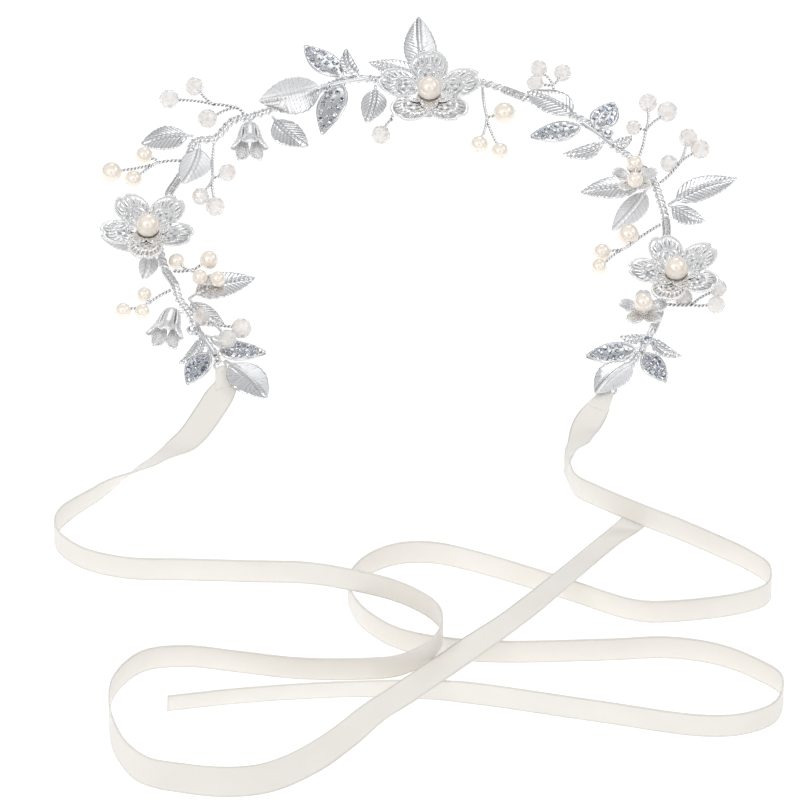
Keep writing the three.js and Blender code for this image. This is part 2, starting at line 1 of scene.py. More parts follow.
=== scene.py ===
"""Bridal flower crown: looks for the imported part. Lengths are in millimetres until a mesh is made."""
import json
import math

import bpy
import numpy as np
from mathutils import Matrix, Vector


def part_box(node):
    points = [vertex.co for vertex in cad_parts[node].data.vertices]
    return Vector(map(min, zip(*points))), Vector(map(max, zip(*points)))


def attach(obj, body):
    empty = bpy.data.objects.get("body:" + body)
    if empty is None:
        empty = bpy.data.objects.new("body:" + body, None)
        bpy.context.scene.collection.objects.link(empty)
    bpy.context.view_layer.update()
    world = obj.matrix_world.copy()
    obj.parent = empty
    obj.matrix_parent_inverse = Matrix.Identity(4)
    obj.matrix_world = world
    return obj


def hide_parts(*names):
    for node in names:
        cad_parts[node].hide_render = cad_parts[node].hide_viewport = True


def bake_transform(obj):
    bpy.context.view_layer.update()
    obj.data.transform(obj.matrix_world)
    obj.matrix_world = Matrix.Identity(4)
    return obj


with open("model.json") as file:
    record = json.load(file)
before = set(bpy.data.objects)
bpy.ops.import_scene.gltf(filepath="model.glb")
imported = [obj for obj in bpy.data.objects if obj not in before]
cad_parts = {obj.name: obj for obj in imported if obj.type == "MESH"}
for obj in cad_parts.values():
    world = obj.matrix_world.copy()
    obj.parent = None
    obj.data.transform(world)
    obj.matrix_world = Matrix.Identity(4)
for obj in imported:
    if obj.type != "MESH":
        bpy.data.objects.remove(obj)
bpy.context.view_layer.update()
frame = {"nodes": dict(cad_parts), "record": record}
BODY = {n: b for b, ns in frame["record"]["behaviour"]["bodies"].items() for n in ns}
MM = 0.001

# ---- the layout, as in the CAD source ----
STEM_Z, STEM_R, WIRE_R, PEARL_Z, CUP_RISE = 3.2, 1.3, 0.55, 10.7, 5.7
STEM = [
    (-60.6, 14.6), (-61.6, 17.6), (-63, 20.5), (-68, 30), (-70, 36.5), (-74, 44.5), (-75.5, 51.5),
    (-78.5, 58), (-80, 64.5), (-81, 72.5), (-80, 84), (-77.5, 95.5), (-75, 101), (-71.5, 111.5),
    (-69, 120), (-62.5, 121.5), (-56.5, 130), (-50.5, 132), (-42.5, 136), (-25, 146.5),
    (-19.5, 149.5), (-8.5, 150), (0, 147), (10, 143), (20, 145), (26, 148.5), (35, 145),
    (42.5, 141), (52.5, 135.5), (62.5, 129.5), (70.5, 119.5), (77.5, 112), (84.5, 102.5),
    (87.5, 91.5), (89.5, 78.5), (88.5, 64), (88, 52), (87.5, 42), (85.5, 33), (83, 26.5),
    (80, 19.5), (75, 10), (71, 3)]
FLEX = [0.108, 0.221, 0.583, 0.805, 0.915]
STEMS = ["stem_left_end", "stem_left_arm", "stem_centre", "stem_right_shoulder", "stem_right_arm",
         "stem_right_end"]


def v3(x, y, z=0.0):
    return np.array([x, y, z], float)


def unit(a):
    return a / (np.linalg.norm(a) + 1e-12)


UP = v3(0, 0, 1)


def catmull(points, per=24):
    """centripetal Catmull-Rom through points, as three.js draws it; also returns each sample's parameter"""
    P = np.array(points, float)
    P = np.vstack([2 * P[0] - P[1], P, 2 * P[-1] - P[-2]])
    out, par = [], []
    for i in range(1, len(P) - 2):
        p0, p1, p2, p3 = P[i - 1:i + 3]
        d = [max(1e-4, np.linalg.norm(b - a) ** 0.5) for a, b in ((p0, p1), (p1, p2), (p2, p3))]
        t1 = (p1 - p0) / d[0] - (p2 - p0) / (d[0] + d[1]) + (p2 - p1) / d[1]
        t2 = (p2 - p1) / d[1] - (p3 - p1) / (d[1] + d[2]) + (p3 - p2) / d[2]
        t1, t2 = t1 * d[1], t2 * d[1]
        for k in range(per):
            t = k / per
            out.append(p1 + t1 * t + (-3 * p1 + 3 * p2 - 2 * t1 - t2) * t * t
                       + (2 * p1 - 2 * p2 + t1 + t2) * t ** 3)
            par.append(i - 1 + t)
    out.append(P[-2])
    par.append(len(P) - 3)
    return np.array(out), np.array(par)


def lengths(P):
    """distance along a line at each of its points"""
    return np.concatenate([[0], np.cumsum(np.linalg.norm(np.diff(P, axis=0), axis=1))])


stem_curve, _ = catmull([(x, y, STEM_Z) for x, y in STEM])
stem_s = lengths(stem_curve)
STEM_LENGTH = stem_s[-1]


def stem_at(share):
    """the stem's middle at a share of its length"""
    s = share * STEM_LENGTH
    return np.array([np.interp(s, stem_s, stem_curve[:, k]) for k in range(3)])


def stem_dir(share):
    """the stem's direction at a share of its length"""
    return unit(stem_at(min(1, share + 1e-3)) - stem_at(max(0, share - 1e-3)))


def off(share, p):
    """a place given from the stem's middle at a share, with its height from the table"""
    c = stem_at(share)
    return v3(c[0] + p[0], c[1] + p[1], p[2])


# share along the stem, then blades: from, to, width, roll in degrees
LEAVES = {
    "end_leaf_left": (0.008, [((3.2, -4.6, 5.6), (17.3, -21, 3.8), 12.5, 0)]),
    "pale_leaf_left": (0.039, [((2.4, 0, 1.9), (16.5, -5, 1.2), 6, 0)]),
    "leaf_pair_left": (0.08, [((3, 1.4, 2.9), (25, 11, 1.6), 11.5, 0),
                              ((3, 1.4, 2.9), (15, -10.5, 1.4), 8.5, 0)]),
    "leaf_pair_flower_left": (0.142, [((-3.6, 1, 2.4), (-5.5, -11.5, 1), 6.5, 0),
                                      ((-3.6, 1, 2.4), (-20, 8.5, 1.8), 6, 0)]),
    "leaf_upper_left_b": (0.279, [((1.5, -4.5, 6), (-4, -23, 5.7), 10.5, 0)]),
    "leaf_upper_left_a": (0.284, [((-2.4, 2, 3.2), (-20, -1, 2), 11, 0)]),
    "leaf_over_stem_left": (0.412, [((0.5, -4.5, 8), (-22.5, -12, 8), 13, -28)]),
    "leaf_below_left": (0.355, [((1.4, -2.6, 3), (13.5, -15.5, 1), 10.5, 0)]),
    "leaf_pair_centre": (0.505, [((-0.5, 2.6, 5), (-3.5, 35.5, 4), 11, 0),
                                 ((-0.5, 2.6, 5), (-20.3, 11.5, 6.6), 8.5, 0)]),
    "leaf_centre_low": (0.456, [((0, -2.6, 2.8), (-3, -19, 1.2), 8.5, 0)]),
    "leaf_over_stem_right": (0.652, [((-2.6, -1.4, 6.6), (-19.5, 11, 6.2), 11, 0)]),
    "leaf_pair_right_inner": (0.749, [((-2.6, -0.6, 2.4), (-25, -2, 1.2), 10, 0),
                                      ((-2.6, -0.6, 2.4), (-14.5, -20, 1), 9, 0)]),
    "leaf_pair_right_outer": (0.772, [((2.4, -0.5, 3), (25.5, 11.5, 3), 10.5, 0),
                                      ((2.4, -0.5, 3), (14.5, -7, 1.2), 8, 0)]),
    "end_leaf_right": (0.961, [((0, -4, 6), (-13.5, -19.5, 5.4), 11, 0)]),
}
# stalk, end, stone cup, then leaves: from, to, width, "s" set with stones or "p" plain
BRANCHES = {
    "left_end_branch": (0.026, (-3, 4.5, 5.6), (3.5, -9, 5.6), (-4.5, 2.5, 6), [
        ((2.5, -7.5, 5.5), (20, -5, 3.4), 8.5, "s"), ((2, -6, 5.5), (-6, -19, 2.6), 8.5, "s"),
        ((-1.5, 1, 5.5), (-8.5, -10.5, 3), 4.5, "p")]),
    "centre_left_branch": (0.427, (-4.5, -5, 5.6), (9, -1, 5.6), (-5, -7, 6), [
        ((2, -2.2, 5.6), (-12.5, 15.5, 4.5), 9.5, "s"), ((1.5, -2.2, 5.6), (-6.5, -25, 2.6), 9.5, "s"),
        ((7, -1.6, 5.6), (1.5, 11, 6.5), 5, "p")]),
    "upper_right_branch": (0.668, (-5.5, 2, 5.6), (5.5, -9.5, 5.6), (3.5, -4.5, 6.2), [
        ((-3.5, 0, 5.6), (-22.5, -2.5, 3.4), 9, "s"), ((-1.5, -2.5, 5.6), (5.5, 12, 5), 9.5, "s"),
        ((3, -7, 5.6), (-11.5, -11.5, 3), 6, "p"), ((4.5, -8.5, 5.6), (11.5, -5.5, 5.5), 4.5, "p")]),
    "right_end_branch": (0.939, (2, 4, 5.6), (-2, -8, 5.6), (0.5, -3, 6.4), [
        ((-1.5, -6, 5.6), (-20, -7.5, 3.6), 9.5, "s"), ((-1.5, -6.5, 5.6), (6.5, -18.5, 2.6), 8, "s"),
        ((1, 0.5, 5.6), (-8.5, 0.5, 4), 4, "p"), ((1, 0.5, 5.6), (11.5, -7.5, 2.6), 5, "p")]),
}
# forks, then beads: place, radius, fork
SPRIGS = {
    "crystals_left_end": (0.051, [(6, -2.5, 6)],
                          [(2.7, -3.9, 9.9, 3, 0), (11.3, -14.3, 10, 3.2, 0), (16, -6.4, 7.2, 3.4, 0)]),
    "pearls_left_low": (0.097, [(-9, -8, 3.4)],
                        [(-10.5, -3.5, 3, 2.7, 0), (-17.5, -11, 3, 2.8, 0), (-11, -11.5, 3, 2.7, 0)]),
    "pearls_left_mid": (0.118, [(8, -1.5, 5)], [(14.5, 1.5, 7, 3.2, 0), (11.5, -7, 7.2, 2.7, 0),
                                                (17.5, -7.5, 6.9, 2.7, 0), (3.6, 4.4, 3.4, 2.8, 0)]),
    "pearls_upper_left": (0.255, [(-9.5, -1, 3.2)],
                          [(-14.5, 2.5, 3.2, 3, 0), (-25.5, -6.5, 3.9, 3.7, 0), (-18, -9, 3.2, 3, 0)]),
    "crystals_left_inner": (0.296, [(-0.5, -19, 3.4)],
                            [(4.5, -16.5, 3.3, 3, 0), (-4.5, -28, 3.3, 3, 0), (0.5, -33, 3.5, 3.3, 0)]),
    "crystals_left_outer": (0.336, [(-4, 4.5, 3.4), (-11.5, 6, 3.4)],
                            [(-26.5, 8.5, 3.6, 3.3, 1), (-18, 14.5, 3.6, 3.2, 1), (-13.5, -1, 3.6, 3.3, 0)]),
    "crystal_centre": (0.481, [(-4, -16, 3)], [(-7.5, -23.5, 3.4, 3.2, 0)]),
    "pearls_centre_right": (0.553, [(1.5, -16.5, 3.4)],
                            [(7.5, -15.5, 4, 3.8, 0), (-1, -30, 3.3, 3.1, 0), (6, -33, 3.2, 3, 0)]),
    "crystals_right_a": (0.623, [(-1, 11.5, 3.6)],
                         [(-5.5, 19.5, 3.4, 3, 0), (-6.8, 12.5, 3.4, 2.8, 0), (2.5, 17.5, 3.4, 3, 0)]),
    "crystals_right_b": (0.719, [(3, 15, 4)],
                         [(4, 29, 3.6, 3.2, 0), (10.5, 24.5, 3.8, 3.5, 0), (-1, 17, 3.6, 2.6, 0)]),
    "crystals_right_c": (0.752, [(7.5, 10, 4)],
                         [(11, 23.5, 3.6, 3.2, 0), (15, 18, 3.6, 3.3, 0), (4.5, 11, 3.6, 3, 0)]),
    "pearls_right_inner": (0.793, [(-13, -13, 3.6)],
                           [(-12.5, -7.5, 4, 3.7, 0), (-21.5, -15, 3.2, 3, 0), (-22.5, -22, 3.2, 2.8, 0)]),
    "crystals_right_low": (0.893, [(10, -0.5, 3.4)],
                           [(7.4, 2.8, 3.2, 3.1, 0), (19, 7.5, 3.4, 3, 0), (18.3, -0.5, 3.4, 3, 0)]),
}
FLOWERS = {"flower_left": (0.16, (-3.6, -2.2), 16.8, 50), "flower_centre": (0.505, (0, -5), 18.6, 90),
           "flower_right": (0.847, (4.1, -8.7), 16.6, 38)}
CUPS = {"cup_flower_high": (0.728, (-3, -7), 8), "cup_flower_low": (0.897, (-5.9, -4), 8.5)}
BELLS = {"bell_flower_low": (0.064, (-5.5, -1.5, 5.4), (-8, -14.5, 5.4)),
         "bell_flower_high": (0.338, (0, -6.5, 5.4), (0, -19, 5.4))}
# ribbon routes: x, y, z of the centre line and the lean from flat, in degrees
RIBBON_LEFT = [
    (-57.8, 4.9, 2.6, 0), (-64, -8, 1.4, 0), (-70.5, -20, 1.4, 5), (-81.5, -32, 3.3, 35),
    (-100.5, -49, 5.2, 80), (-113, -61.5, 5.3, 90), (-114, -69, 5.3, 90), (-106.5, -78, 5.3, 90),
    (-91.5, -83.5, 5.3, 90), (-70, -84.5, 5.3, 90), (-48.5, -86, 6, 90), (-32, -92.5, 12, 90),
    (-20, -98.5, 15.8, 90), (0, -105.5, 15.9, 90), (12, -115, 15.9, 90), (14, -123, 15.9, 90),
    (10, -132, 15.9, 90), (0, -133, 9.8, 90), (-15, -130.5, 5.4, 90), (-34, -130, 5.3, 90),
    (-53.5, -127, 5.3, 90), (-71, -124.5, 5.3, 90), (-85, -127, 5.3, 90), (-94, -138, 5.3, 90),
    (-95.5, -150, 5.3, 90), (-92, -166, 5.1, 80), (-84, -176, 4.8, 68), (-71, -179.5, 4.4, 58),
    (-57, -181, 4.2, 50), (-44, -178.5, 3.4, 40), (-30, -170, 2.8, 24), (-18, -160, 4, 10),
    (-8.5, -153, 8, 2), (0, -148.5, 11.2, 0), (22.5, -127.5, 11.6, -3),
    (38.5, -113, 12.6, -12), (56, -94, 13.4, -20), (68, -74, 7, -20),
    (75.5, -62, 2.6, -14), (79.5, -56.5, 2, -10)]
RIBBON_RIGHT = [
    (66.2, -5.4, 2.6, 0), (62.5, -13.5, 2.6, 4), (59.5, -24.5, 4.4, 32), (56.5, -35, 7, 68),
    (56.2, -43, 9, 88), (58.5, -50, 10, 90), (65, -55, 10.3, 90), (80, -64, 10.4, 90),
    (92, -69.5, 9.4, 90), (105, -75, 7, 90), (115, -80, 5.4, 90), (122, -87, 5.3, 90),
    (121.5, -95, 5.3, 90), (114, -99.5, 5.3, 90), (86.5, -104, 5.3, 90),
    (76.5, -103, 5.3, 90), (55, -93.5, 5.3, 90), (25.5, -81, 5.3, 90),
    (10, -76.5, 5.3, 90), (-2, -77.5, 5.3, 90), (-12, -83.5, 5.3, 90), (-17, -93, 5.3, 90),
    (-14.5, -103, 5.3, 90), (-8, -111, 5.3, 90), (1, -117, 5.3, 90),
    (24.5, -122, 5.3, 90), (68, -121.5, 5.3, 90), (88, -120.5, 5.3, 90),
    (104, -123.5, 5.3, 90), (116, -129.5, 5.3, 90), (125.5, -138, 5.3, 90),
    (123.5, -149.5, 5.3, 90), (114.5, -155, 5.3, 90), (101, -156.5, 5.3, 90),
    (63.5, -149.5, 5.3, 90),
    (23.5, -141.5, 5.3, 90), (10, -140, 5.3, 84), (-17.5, -139.5, 5.1, 76),
    (-53, -142.5, 5.1, 75), (-76.5, -146, 5.1, 75)]
RIBBON_W, PEARL_R = 10, 4
RIBBON_T = 0.42  # a little thinner than the CAD ribbon, so that the cloth stays inside it
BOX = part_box("flower_centre_pearl")
SHIFT = (np.array(BOX[0]) + np.array(BOX[1])) / 2 / MM - off(0.505, (0, -5, PEARL_Z))
# draws a random painted glint tone for each facet
FACET_GLINT_RNG = np.random.default_rng(7)

# ---- camera ----
scene = bpy.context.scene
scene.view_settings.view_transform = "Standard"
LENS, SENSOR, DISTANCE, FAR_CLIP = 1000, 36, 7.4074, 30  # mm, mm, m, m
view = unit(v3(0, -1, 1))
camera = bpy.data.objects.new("camera", bpy.data.cameras.new("camera"))
camera.data.lens, camera.data.sensor_width, camera.data.clip_end = LENS, SENSOR, FAR_CLIP
scene.collection.objects.link(camera)
camera.location = Vector(SHIFT * MM + view * DISTANCE)
camera.rotation_euler = Vector(-view).to_track_quat("-Z", "Y").to_euler()
scene.camera = camera


# ---- materials ----
def material(name):
    m = bpy.data.materials.new(name)
    m.use_nodes = True
    return m, m.node_tree.nodes, m.node_tree.links, m.node_tree.nodes["Principled BSDF"]


def noise(nodes, links, scale, detail=3.0, rough=0.5, distortion=0.0):
    co = nodes.new("ShaderNodeTexCoord")
    n = nodes.new("ShaderNodeTexNoise")
    n.inputs["Scale"].default_value, n.inputs["Detail"].default_value = scale, detail
    n.inputs["Roughness"].default_value, n.inputs["Distortion"].default_value = rough, distortion
    links.new(co.outputs["Object"], n.inputs["Vector"])
    return n


def ramp(nodes, links, fac, stops):
    r = nodes.new("ShaderNodeValToRGB")
    e = r.color_ramp.elements
    while len(e) < len(stops):
        e.new(0.5)
    for k, (p, c) in enumerate(stops):
        e[k].position, e[k].color = p, (*c, 1) if len(c) == 3 else c
    links.new(fac, r.inputs["Fac"])
    return r


def attr(nodes, name):
    a = nodes.new("ShaderNodeAttribute")
    a.attribute_name = name
    return a


def mixed(nodes, links, fac, a, b, mode="MIX"):
    m = nodes.new("ShaderNodeMix")
    m.data_type, m.blend_type = "RGBA", mode
    if isinstance(fac, float):
        m.inputs[0].default_value = fac
    else:
        links.new(fac, m.inputs[0])
    for k, v in ((6, a), (7, b)):
        if isinstance(v, tuple):
            m.inputs[k].default_value = (*v, 1)
        else:
            links.new(v, m.inputs[k])
    return m.outputs[2]


def to_range(nodes, links, value, a, b, c, d):
    m = nodes.new("ShaderNodeMapRange")
    for k, v in zip((1, 2, 3, 4), (a, b, c, d)):
        m.inputs[k].default_value = v
    links.new(value, m.inputs[0])
    return m.outputs[0]


def dials(p, **values):
    """sets sockets by name, with _ for a space"""
    for name, value in values.items():
        p.inputs[name.replace("_", " ")].default_value = value


def bump(nodes, links, p, height, strength, dist):
    b = nodes.new("ShaderNodeBump")
    b.inputs["Strength"].default_value, b.inputs["Distance"].default_value = strength, dist
    links.new(height, b.inputs["Height"])
    links.new(b.outputs["Normal"], p.inputs["Normal"])


def silver(name, light, shade_colour, rough, grain, rough_var=0.08, metal=1.0):
    """plated metal, with painted shade darkening its crevices and the places between its parts (the cavity
    value), and a fine grain in its gloss
    """
    m, nodes, links, p = material(name)
    cloud = noise(nodes, links, 160, 3)
    worn = tuple(0.95 * v for v in light)
    base = ramp(nodes, links, cloud.outputs["Fac"], [(0.3, worn), (0.7, light)])
    # painted shade: the cavity value mixes the shade colour into the metal in crevices and between parts
    painted_shade = attr(nodes, "cavity_shade")
    links.new(mixed(nodes, links, painted_shade.outputs["Fac"], base.outputs["Color"], shade_colour), p.inputs["Base Color"])
    p.inputs["Metallic"].default_value = metal
    fine = noise(nodes, links, grain, 4, 0.6)
    links.new(to_range(nodes, links, fine.outputs["Fac"], 0.3, 0.7, rough - rough_var, rough + rough_var),
              p.inputs["Roughness"])
    bump(nodes, links, p, fine.outputs["Fac"], 0.25, 0.00005)
    return m


BRIGHT = silver("bright_silver", (0.85, 0.853, 0.862), (0.13, 0.135, 0.15), 0.17, 1800)
SATIN_SILVER = silver("satin_silver", (0.93, 0.932, 0.937), (0.36, 0.365, 0.38), 0.42, 2600)
WIRE = silver("wire_silver", (0.9, 0.902, 0.908), (0.14, 0.14, 0.155), 0.22, 2200)
LACE = silver("lace_silver", (0.95, 0.951, 0.953), (0.26, 0.263, 0.27), 0.27, 2200)
CAST = silver("cast_silver", (0.96, 0.962, 0.967), (0.4, 0.405, 0.42), 0.28, 2200, metal=0.65)


def pearl_material():
    """ivory pearl under a clear coat, with a warm sheen at its edge"""
    m, nodes, links, p = material("ivory_pearl")
    cloud = noise(nodes, links, 260, 2, 0.5, 0.4)
    ivory = ramp(nodes, links, cloud.outputs["Fac"], [(0.3, (0.97, 0.87, 0.745)), (0.7, (0.99, 0.91, 0.805))])
    links.new(ivory.outputs["Color"], p.inputs["Base Color"])
    dials(p, Metallic=0.1, Roughness=0.26, IOR=1.6, Coat_Weight=1, Coat_Roughness=0.14, Coat_IOR=2.2,
          Sheen_Weight=0.3, Sheen_Roughness=0.3, Sheen_Tint=(1, 0.86, 0.7, 1))
    fine = noise(nodes, links, 900, 2)
    bump(nodes, links, p, fine.outputs["Fac"], 0.02, 0.0001)
    return m


def crystal_material():
    """pale pink glass with painted glints: each facet's tone from pale pink to white"""
    m, nodes, links, p = material("pink_crystal")
    face = attr(nodes, "facet")
    # the glass's own pale pink, with painted glints toward white on some facets
    pink_and_glints = ramp(nodes, links, face.outputs["Fac"], [
        (0.0, (0.9, 0.8, 0.74)), (0.22, (1, 0.96, 0.925)), (0.6, (1, 0.99, 0.975)), (1.0, (1, 1, 1))])
    links.new(pink_and_glints.outputs["Color"], p.inputs["Base Color"])
    dials(p, Roughness=0.04, IOR=1.54, Transmission_Weight=0.5, Coat_Weight=0.35, Coat_Roughness=0.03)
    fine = noise(nodes, links, 700, 2)
    bump(nodes, links, p, fine.outputs["Fac"], 0.03, 0.0001)
    return m


def stone_material():
    """foiled rhinestone with painted reflections: each facet's colour from near black to white"""
    m, nodes, links, p = material("clear_stone")
    face = attr(nodes, "facet")
    # painted reflections: a dark to white colour for each facet
    facet_reflection = ramp(nodes, links, face.outputs["Fac"], [
        (0.0, (0.07, 0.08, 0.105)), (0.3, (0.3, 0.335, 0.4)), (0.6, (0.66, 0.7, 0.78)), (1.0, (1, 1, 1))])
    links.new(facet_reflection.outputs["Color"], p.inputs["Base Color"])
    dials(p, Metallic=0.75, Roughness=0.05, IOR=1.8)
    fine = noise(nodes, links, 900, 2)
    bump(nodes, links, p, fine.outputs["Fac"], 0.03, 0.0001)
    return m


def ribbon_material():
    """satin: fine warp lines along it, faint weft ribs across, darker bound edges"""
    m, nodes, links, p = material("ivory_satin")
    uv = nodes.new("ShaderNodeUVMap")
    parts = nodes.new("ShaderNodeSeparateXYZ")
    links.new(uv.outputs["UV"], parts.inputs[0])
    edge = nodes.new("ShaderNodeMath")
    edge.operation = "ABSOLUTE"
    links.new(parts.outputs["Y"], edge.inputs[0])
    rim = ramp(nodes, links, edge.outputs[0], [
        (0.0, (0.89, 0.862, 0.812)), (0.88, (0.89, 0.862, 0.812)), (0.94, (0.82, 0.788, 0.735)),
        (1.0, (0.87, 0.842, 0.79))])
    cloud = noise(nodes, links, 45, 3)
    tone = ramp(nodes, links, cloud.outputs["Fac"], [(0.3, (0.96, 0.955, 0.945)), (0.7, (1, 1, 1))])
    links.new(mixed(nodes, links, 1.0, rim.outputs["Color"], tone.outputs["Color"], "MULTIPLY"),
              p.inputs["Base Color"])
    warp = nodes.new("ShaderNodeTexWave")
    warp.bands_direction = "Y"
    warp.inputs["Scale"].default_value = 11
    weft = nodes.new("ShaderNodeTexWave")
    weft.inputs["Scale"].default_value = 1.6
    weft.inputs["Distortion"].default_value = 0.6
    weave = nodes.new("ShaderNodeMath")
    for w, k in ((warp, 0), (weft, 1)):
        links.new(uv.outputs["UV"], w.inputs["Vector"])
        links.new(w.outputs["Fac"], weave.inputs[k])
    bump(nodes, links, p, weave.outputs[0], 0.12, 0.00008)
    links.new(to_range(nodes, links, cloud.outputs["Fac"], 0.3, 0.7, 0.34, 0.44), p.inputs["Roughness"])
    dials(p, Anisotropic=0.5, Sheen_Weight=0.35, Sheen_Roughness=0.35, Specular_IOR_Level=0.55)
    return m


PEARL, CRYSTAL, STONE, SATIN = pearl_material(), crystal_material(), stone_material(), ribbon_material()


# ---- mesh tools ----
class Shape:
    """collects vertices and faces in layout millimetres, with a painted cavity shade value and a painted
    facet glint value
    """

    def __init__(self):
        self.v, self.f, self.c, self.g, self.m, self.uv, self.n = [], [], [], [], [], [], 0

    def add(self, V, faces, cavity_shade=0.0, mat=0, facet=None, uv=None):
        """faces come in groups; mat is one number, or a list with a number or an array for each group"""
        V = np.asarray(V, float).reshape(-1, 3)
        for F, index in zip(faces, mat if isinstance(mat, list) else [mat] * len(faces)):
            F = np.asarray(F, int)
            if len(F):
                self.f.append(F + self.n)
                self.m.append(np.broadcast_to(index, len(F)))
                # the facet value is a random painted glint tone for each face, read by the stone and crystal
                # materials
                self.g.append(np.full(len(F), 0.5) if facet is None else FACET_GLINT_RNG.random(len(F)))
        self.v.append(V)
        # the cavity value is the painted shade at each point, from none to full
        self.c.append(np.broadcast_to(np.asarray(cavity_shade, float).ravel(), (len(V),)) if np.ndim(cavity_shade)
                      else np.full(len(V), float(cavity_shade)))
        self.uv.append(np.zeros((len(V), 2)) if uv is None else np.asarray(uv, float).reshape(-1, 2))
        self.n += len(V)

    def make(self, name, body, mats, slot="silver_plate", nodes=(), flat=(), ride=True):
        V = (np.vstack(self.v) + SHIFT) * MM
        me = bpy.data.meshes.new(name)
        me.vertices.add(len(V))
        me.vertices.foreach_set("co", V.ravel())
        sizes = np.concatenate([np.full(len(F), F.shape[1]) for F in self.f])
        loops = np.concatenate([F.ravel() for F in self.f])
        me.loops.add(len(loops))
        me.loops.foreach_set("vertex_index", loops)
        me.polygons.add(len(sizes))
        me.polygons.foreach_set("loop_start", np.concatenate([[0], np.cumsum(sizes)[:-1]]))
        index = np.concatenate(self.m)
        me.polygons.foreach_set("material_index", index)
        me.update(calc_edges=True)
        me.validate()
        me.polygons.foreach_set("use_smooth", ~np.isin(index, flat))
        # painted shade, for the silver materials
        a = me.attributes.new("cavity_shade", "FLOAT", "POINT")
        a.data.foreach_set("value", np.concatenate(self.c))
        # painted reflections and glints, for the stone and crystal materials
        a = me.attributes.new("facet", "FLOAT", "FACE")
        a.data.foreach_set("value", np.concatenate(self.g))
        layer = me.uv_layers.new(name="UVMap")
        layer.data.foreach_set("uv", np.vstack(self.uv)[loops].ravel())
        for m in mats:
            me.materials.append(m)
        ob = bpy.data.objects.new(name, me)
        scene.collection.objects.link(ob)
        if ride:
            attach(ob, body)
        if nodes:
            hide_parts(*nodes)
        return ob


def quads(nu, nv, wrap_u=False, wrap_v=False):
    """the faces of a grid of nu by nv points"""
    rows, columns = np.arange(nu if wrap_u else nu - 1), np.arange(nv if wrap_v else nv - 1)
    I, J = np.meshgrid(rows, columns, indexing="ij")
    K, L = (I + 1) % nu, (J + 1) % nv
    return np.stack([I * nv + J, K * nv + J, K * nv + L, I * nv + L], -1).reshape(-1, 4)


def normals(P):
    a, b = np.gradient(P, axis=0), np.gradient(P, axis=1)
    n = np.cross(a, b)
    return n / (np.linalg.norm(n, axis=-1, keepdims=True) + 1e-9)


def slab(P, t):
    """a sheet of thickness t on a grid of points, closed at its edges"""
    nu, nv = P.shape[:2]
    N = normals(P) * t / 2
    V = np.vstack([(P + N).reshape(-1, 3), (P - N).reshape(-1, 3)])
    Q, n = quads(nu, nv), nu * nv
    loop = ([i * nv for i in range(nu)] + [(nu - 1) * nv + j for j in range(1, nv)]
            + [i * nv + nv - 1 for i in range(nu - 2, -1, -1)] + [j for j in range(nv - 2, 0, -1)])
    a = np.array(loop)
    b = np.roll(a, -1)
    return V, [Q, Q[:, ::-1] + n, np.stack([a, a + n, b + n, b], -1)]


def pierced(P, t, keep):
    """a ring-shaped sheet on a grid that closes in u, with only the kept cells"""
    nu, nv = P.shape[:2]
    a, b = np.roll(P, -1, 0) - np.roll(P, 1, 0), np.gradient(P, axis=1)
    N = np.cross(a, b)
    N *= t / 2 / (np.linalg.norm(N, axis=-1, keepdims=True) + 1e-9)
    V = np.vstack([(P + N).reshape(-1, 3), (P - N).reshape(-1, 3)])
    n = nu * nv
    Q = quads(nu, nv, True)[keep.ravel()]
    faces = [Q, Q[:, ::-1] + n]
    I, J = np.nonzero(keep)
    K = (I + 1) % nu
    pad = np.pad(keep, ((0, 0), (1, 1)))
    for here, (p, q) in ((~pad[I, J], ((I, J), (K, J))), (~pad[I, J + 2], ((K, J + 1), (I, J + 1))),
                         (~keep[I - 1, J], ((I, J + 1), (I, J))), (~keep[K, J], ((K, J), (K, J + 1)))):
        e, f = (p[0] * nv + p[1])[here], (q[0] * nv + q[1])[here]
        faces.append(np.stack([e, e + n, f + n, f], -1))
    return V, faces


def sweep(points, radius, sides=8):
    """a round tube through points, with its ends closed"""
    P = np.asarray(points, float)
    T = np.gradient(P, axis=0)
    T /= np.linalg.norm(T, axis=1, keepdims=True) + 1e-12
    n = np.cross(T[0], UP if abs(T[0][2]) < 0.9 else v3(1, 0, 0))
    frames = []
    for t in T:
        n = unit(n - t * n.dot(t))
        frames.append((n, np.cross(t, n)))
    A = np.linspace(0, 2 * np.pi, sides, endpoint=False)
    r = np.broadcast_to(radius, len(P))
    V = np.array([p + rr * (np.outer(np.cos(A), f[0]) + np.outer(np.sin(A), f[1]))
                  for p, f, rr in zip(P, frames, r)])
    Q = quads(len(P), sides, False, True)
    ring = np.arange(sides)[None]
    return V.reshape(-1, 3), [Q[:, ::-1], ring, ring[:, ::-1] + (len(P) - 1) * sides]


def ball(c, r, across=24, down=14, scale=(1, 1, 1)):
    """a bead, with a pinhead opening closed flat at each pole"""
    a = np.linspace(0, 2 * np.pi, across, endpoint=False)
    b = np.linspace(0.02, np.pi - 0.02, down)
    V = np.array([[np.sin(y) * np.cos(x), np.sin(y) * np.sin(x), -np.cos(y)] for y in b for x in a])
    V = V * r * np.array(scale) + c
    e = (down - 1) * across
    return V, [quads(down, across, False, True)[:, ::-1], np.arange(across)[None, ::-1],
               (np.arange(across) + e)[None]]


def torus(c, axis, R, r, around=32, sides=10):
    """a ring of radius R round an axis"""
    axis = unit(axis)
    x = unit(np.cross(axis, v3(0.3, 0.2, 1) if abs(axis[2]) < 0.8 else v3(1, 0, 0)))
    y = np.cross(axis, x)
    V = []
    for a in np.linspace(0, 2 * np.pi, around, endpoint=False):
        d = x * math.cos(a) + y * math.sin(a)
        V += [c + d * (R + r * math.cos(b)) + axis * r * math.sin(b)
              for b in np.linspace(0, 2 * np.pi, sides, endpoint=False)]
    return V, [quads(around, sides, True, True)]


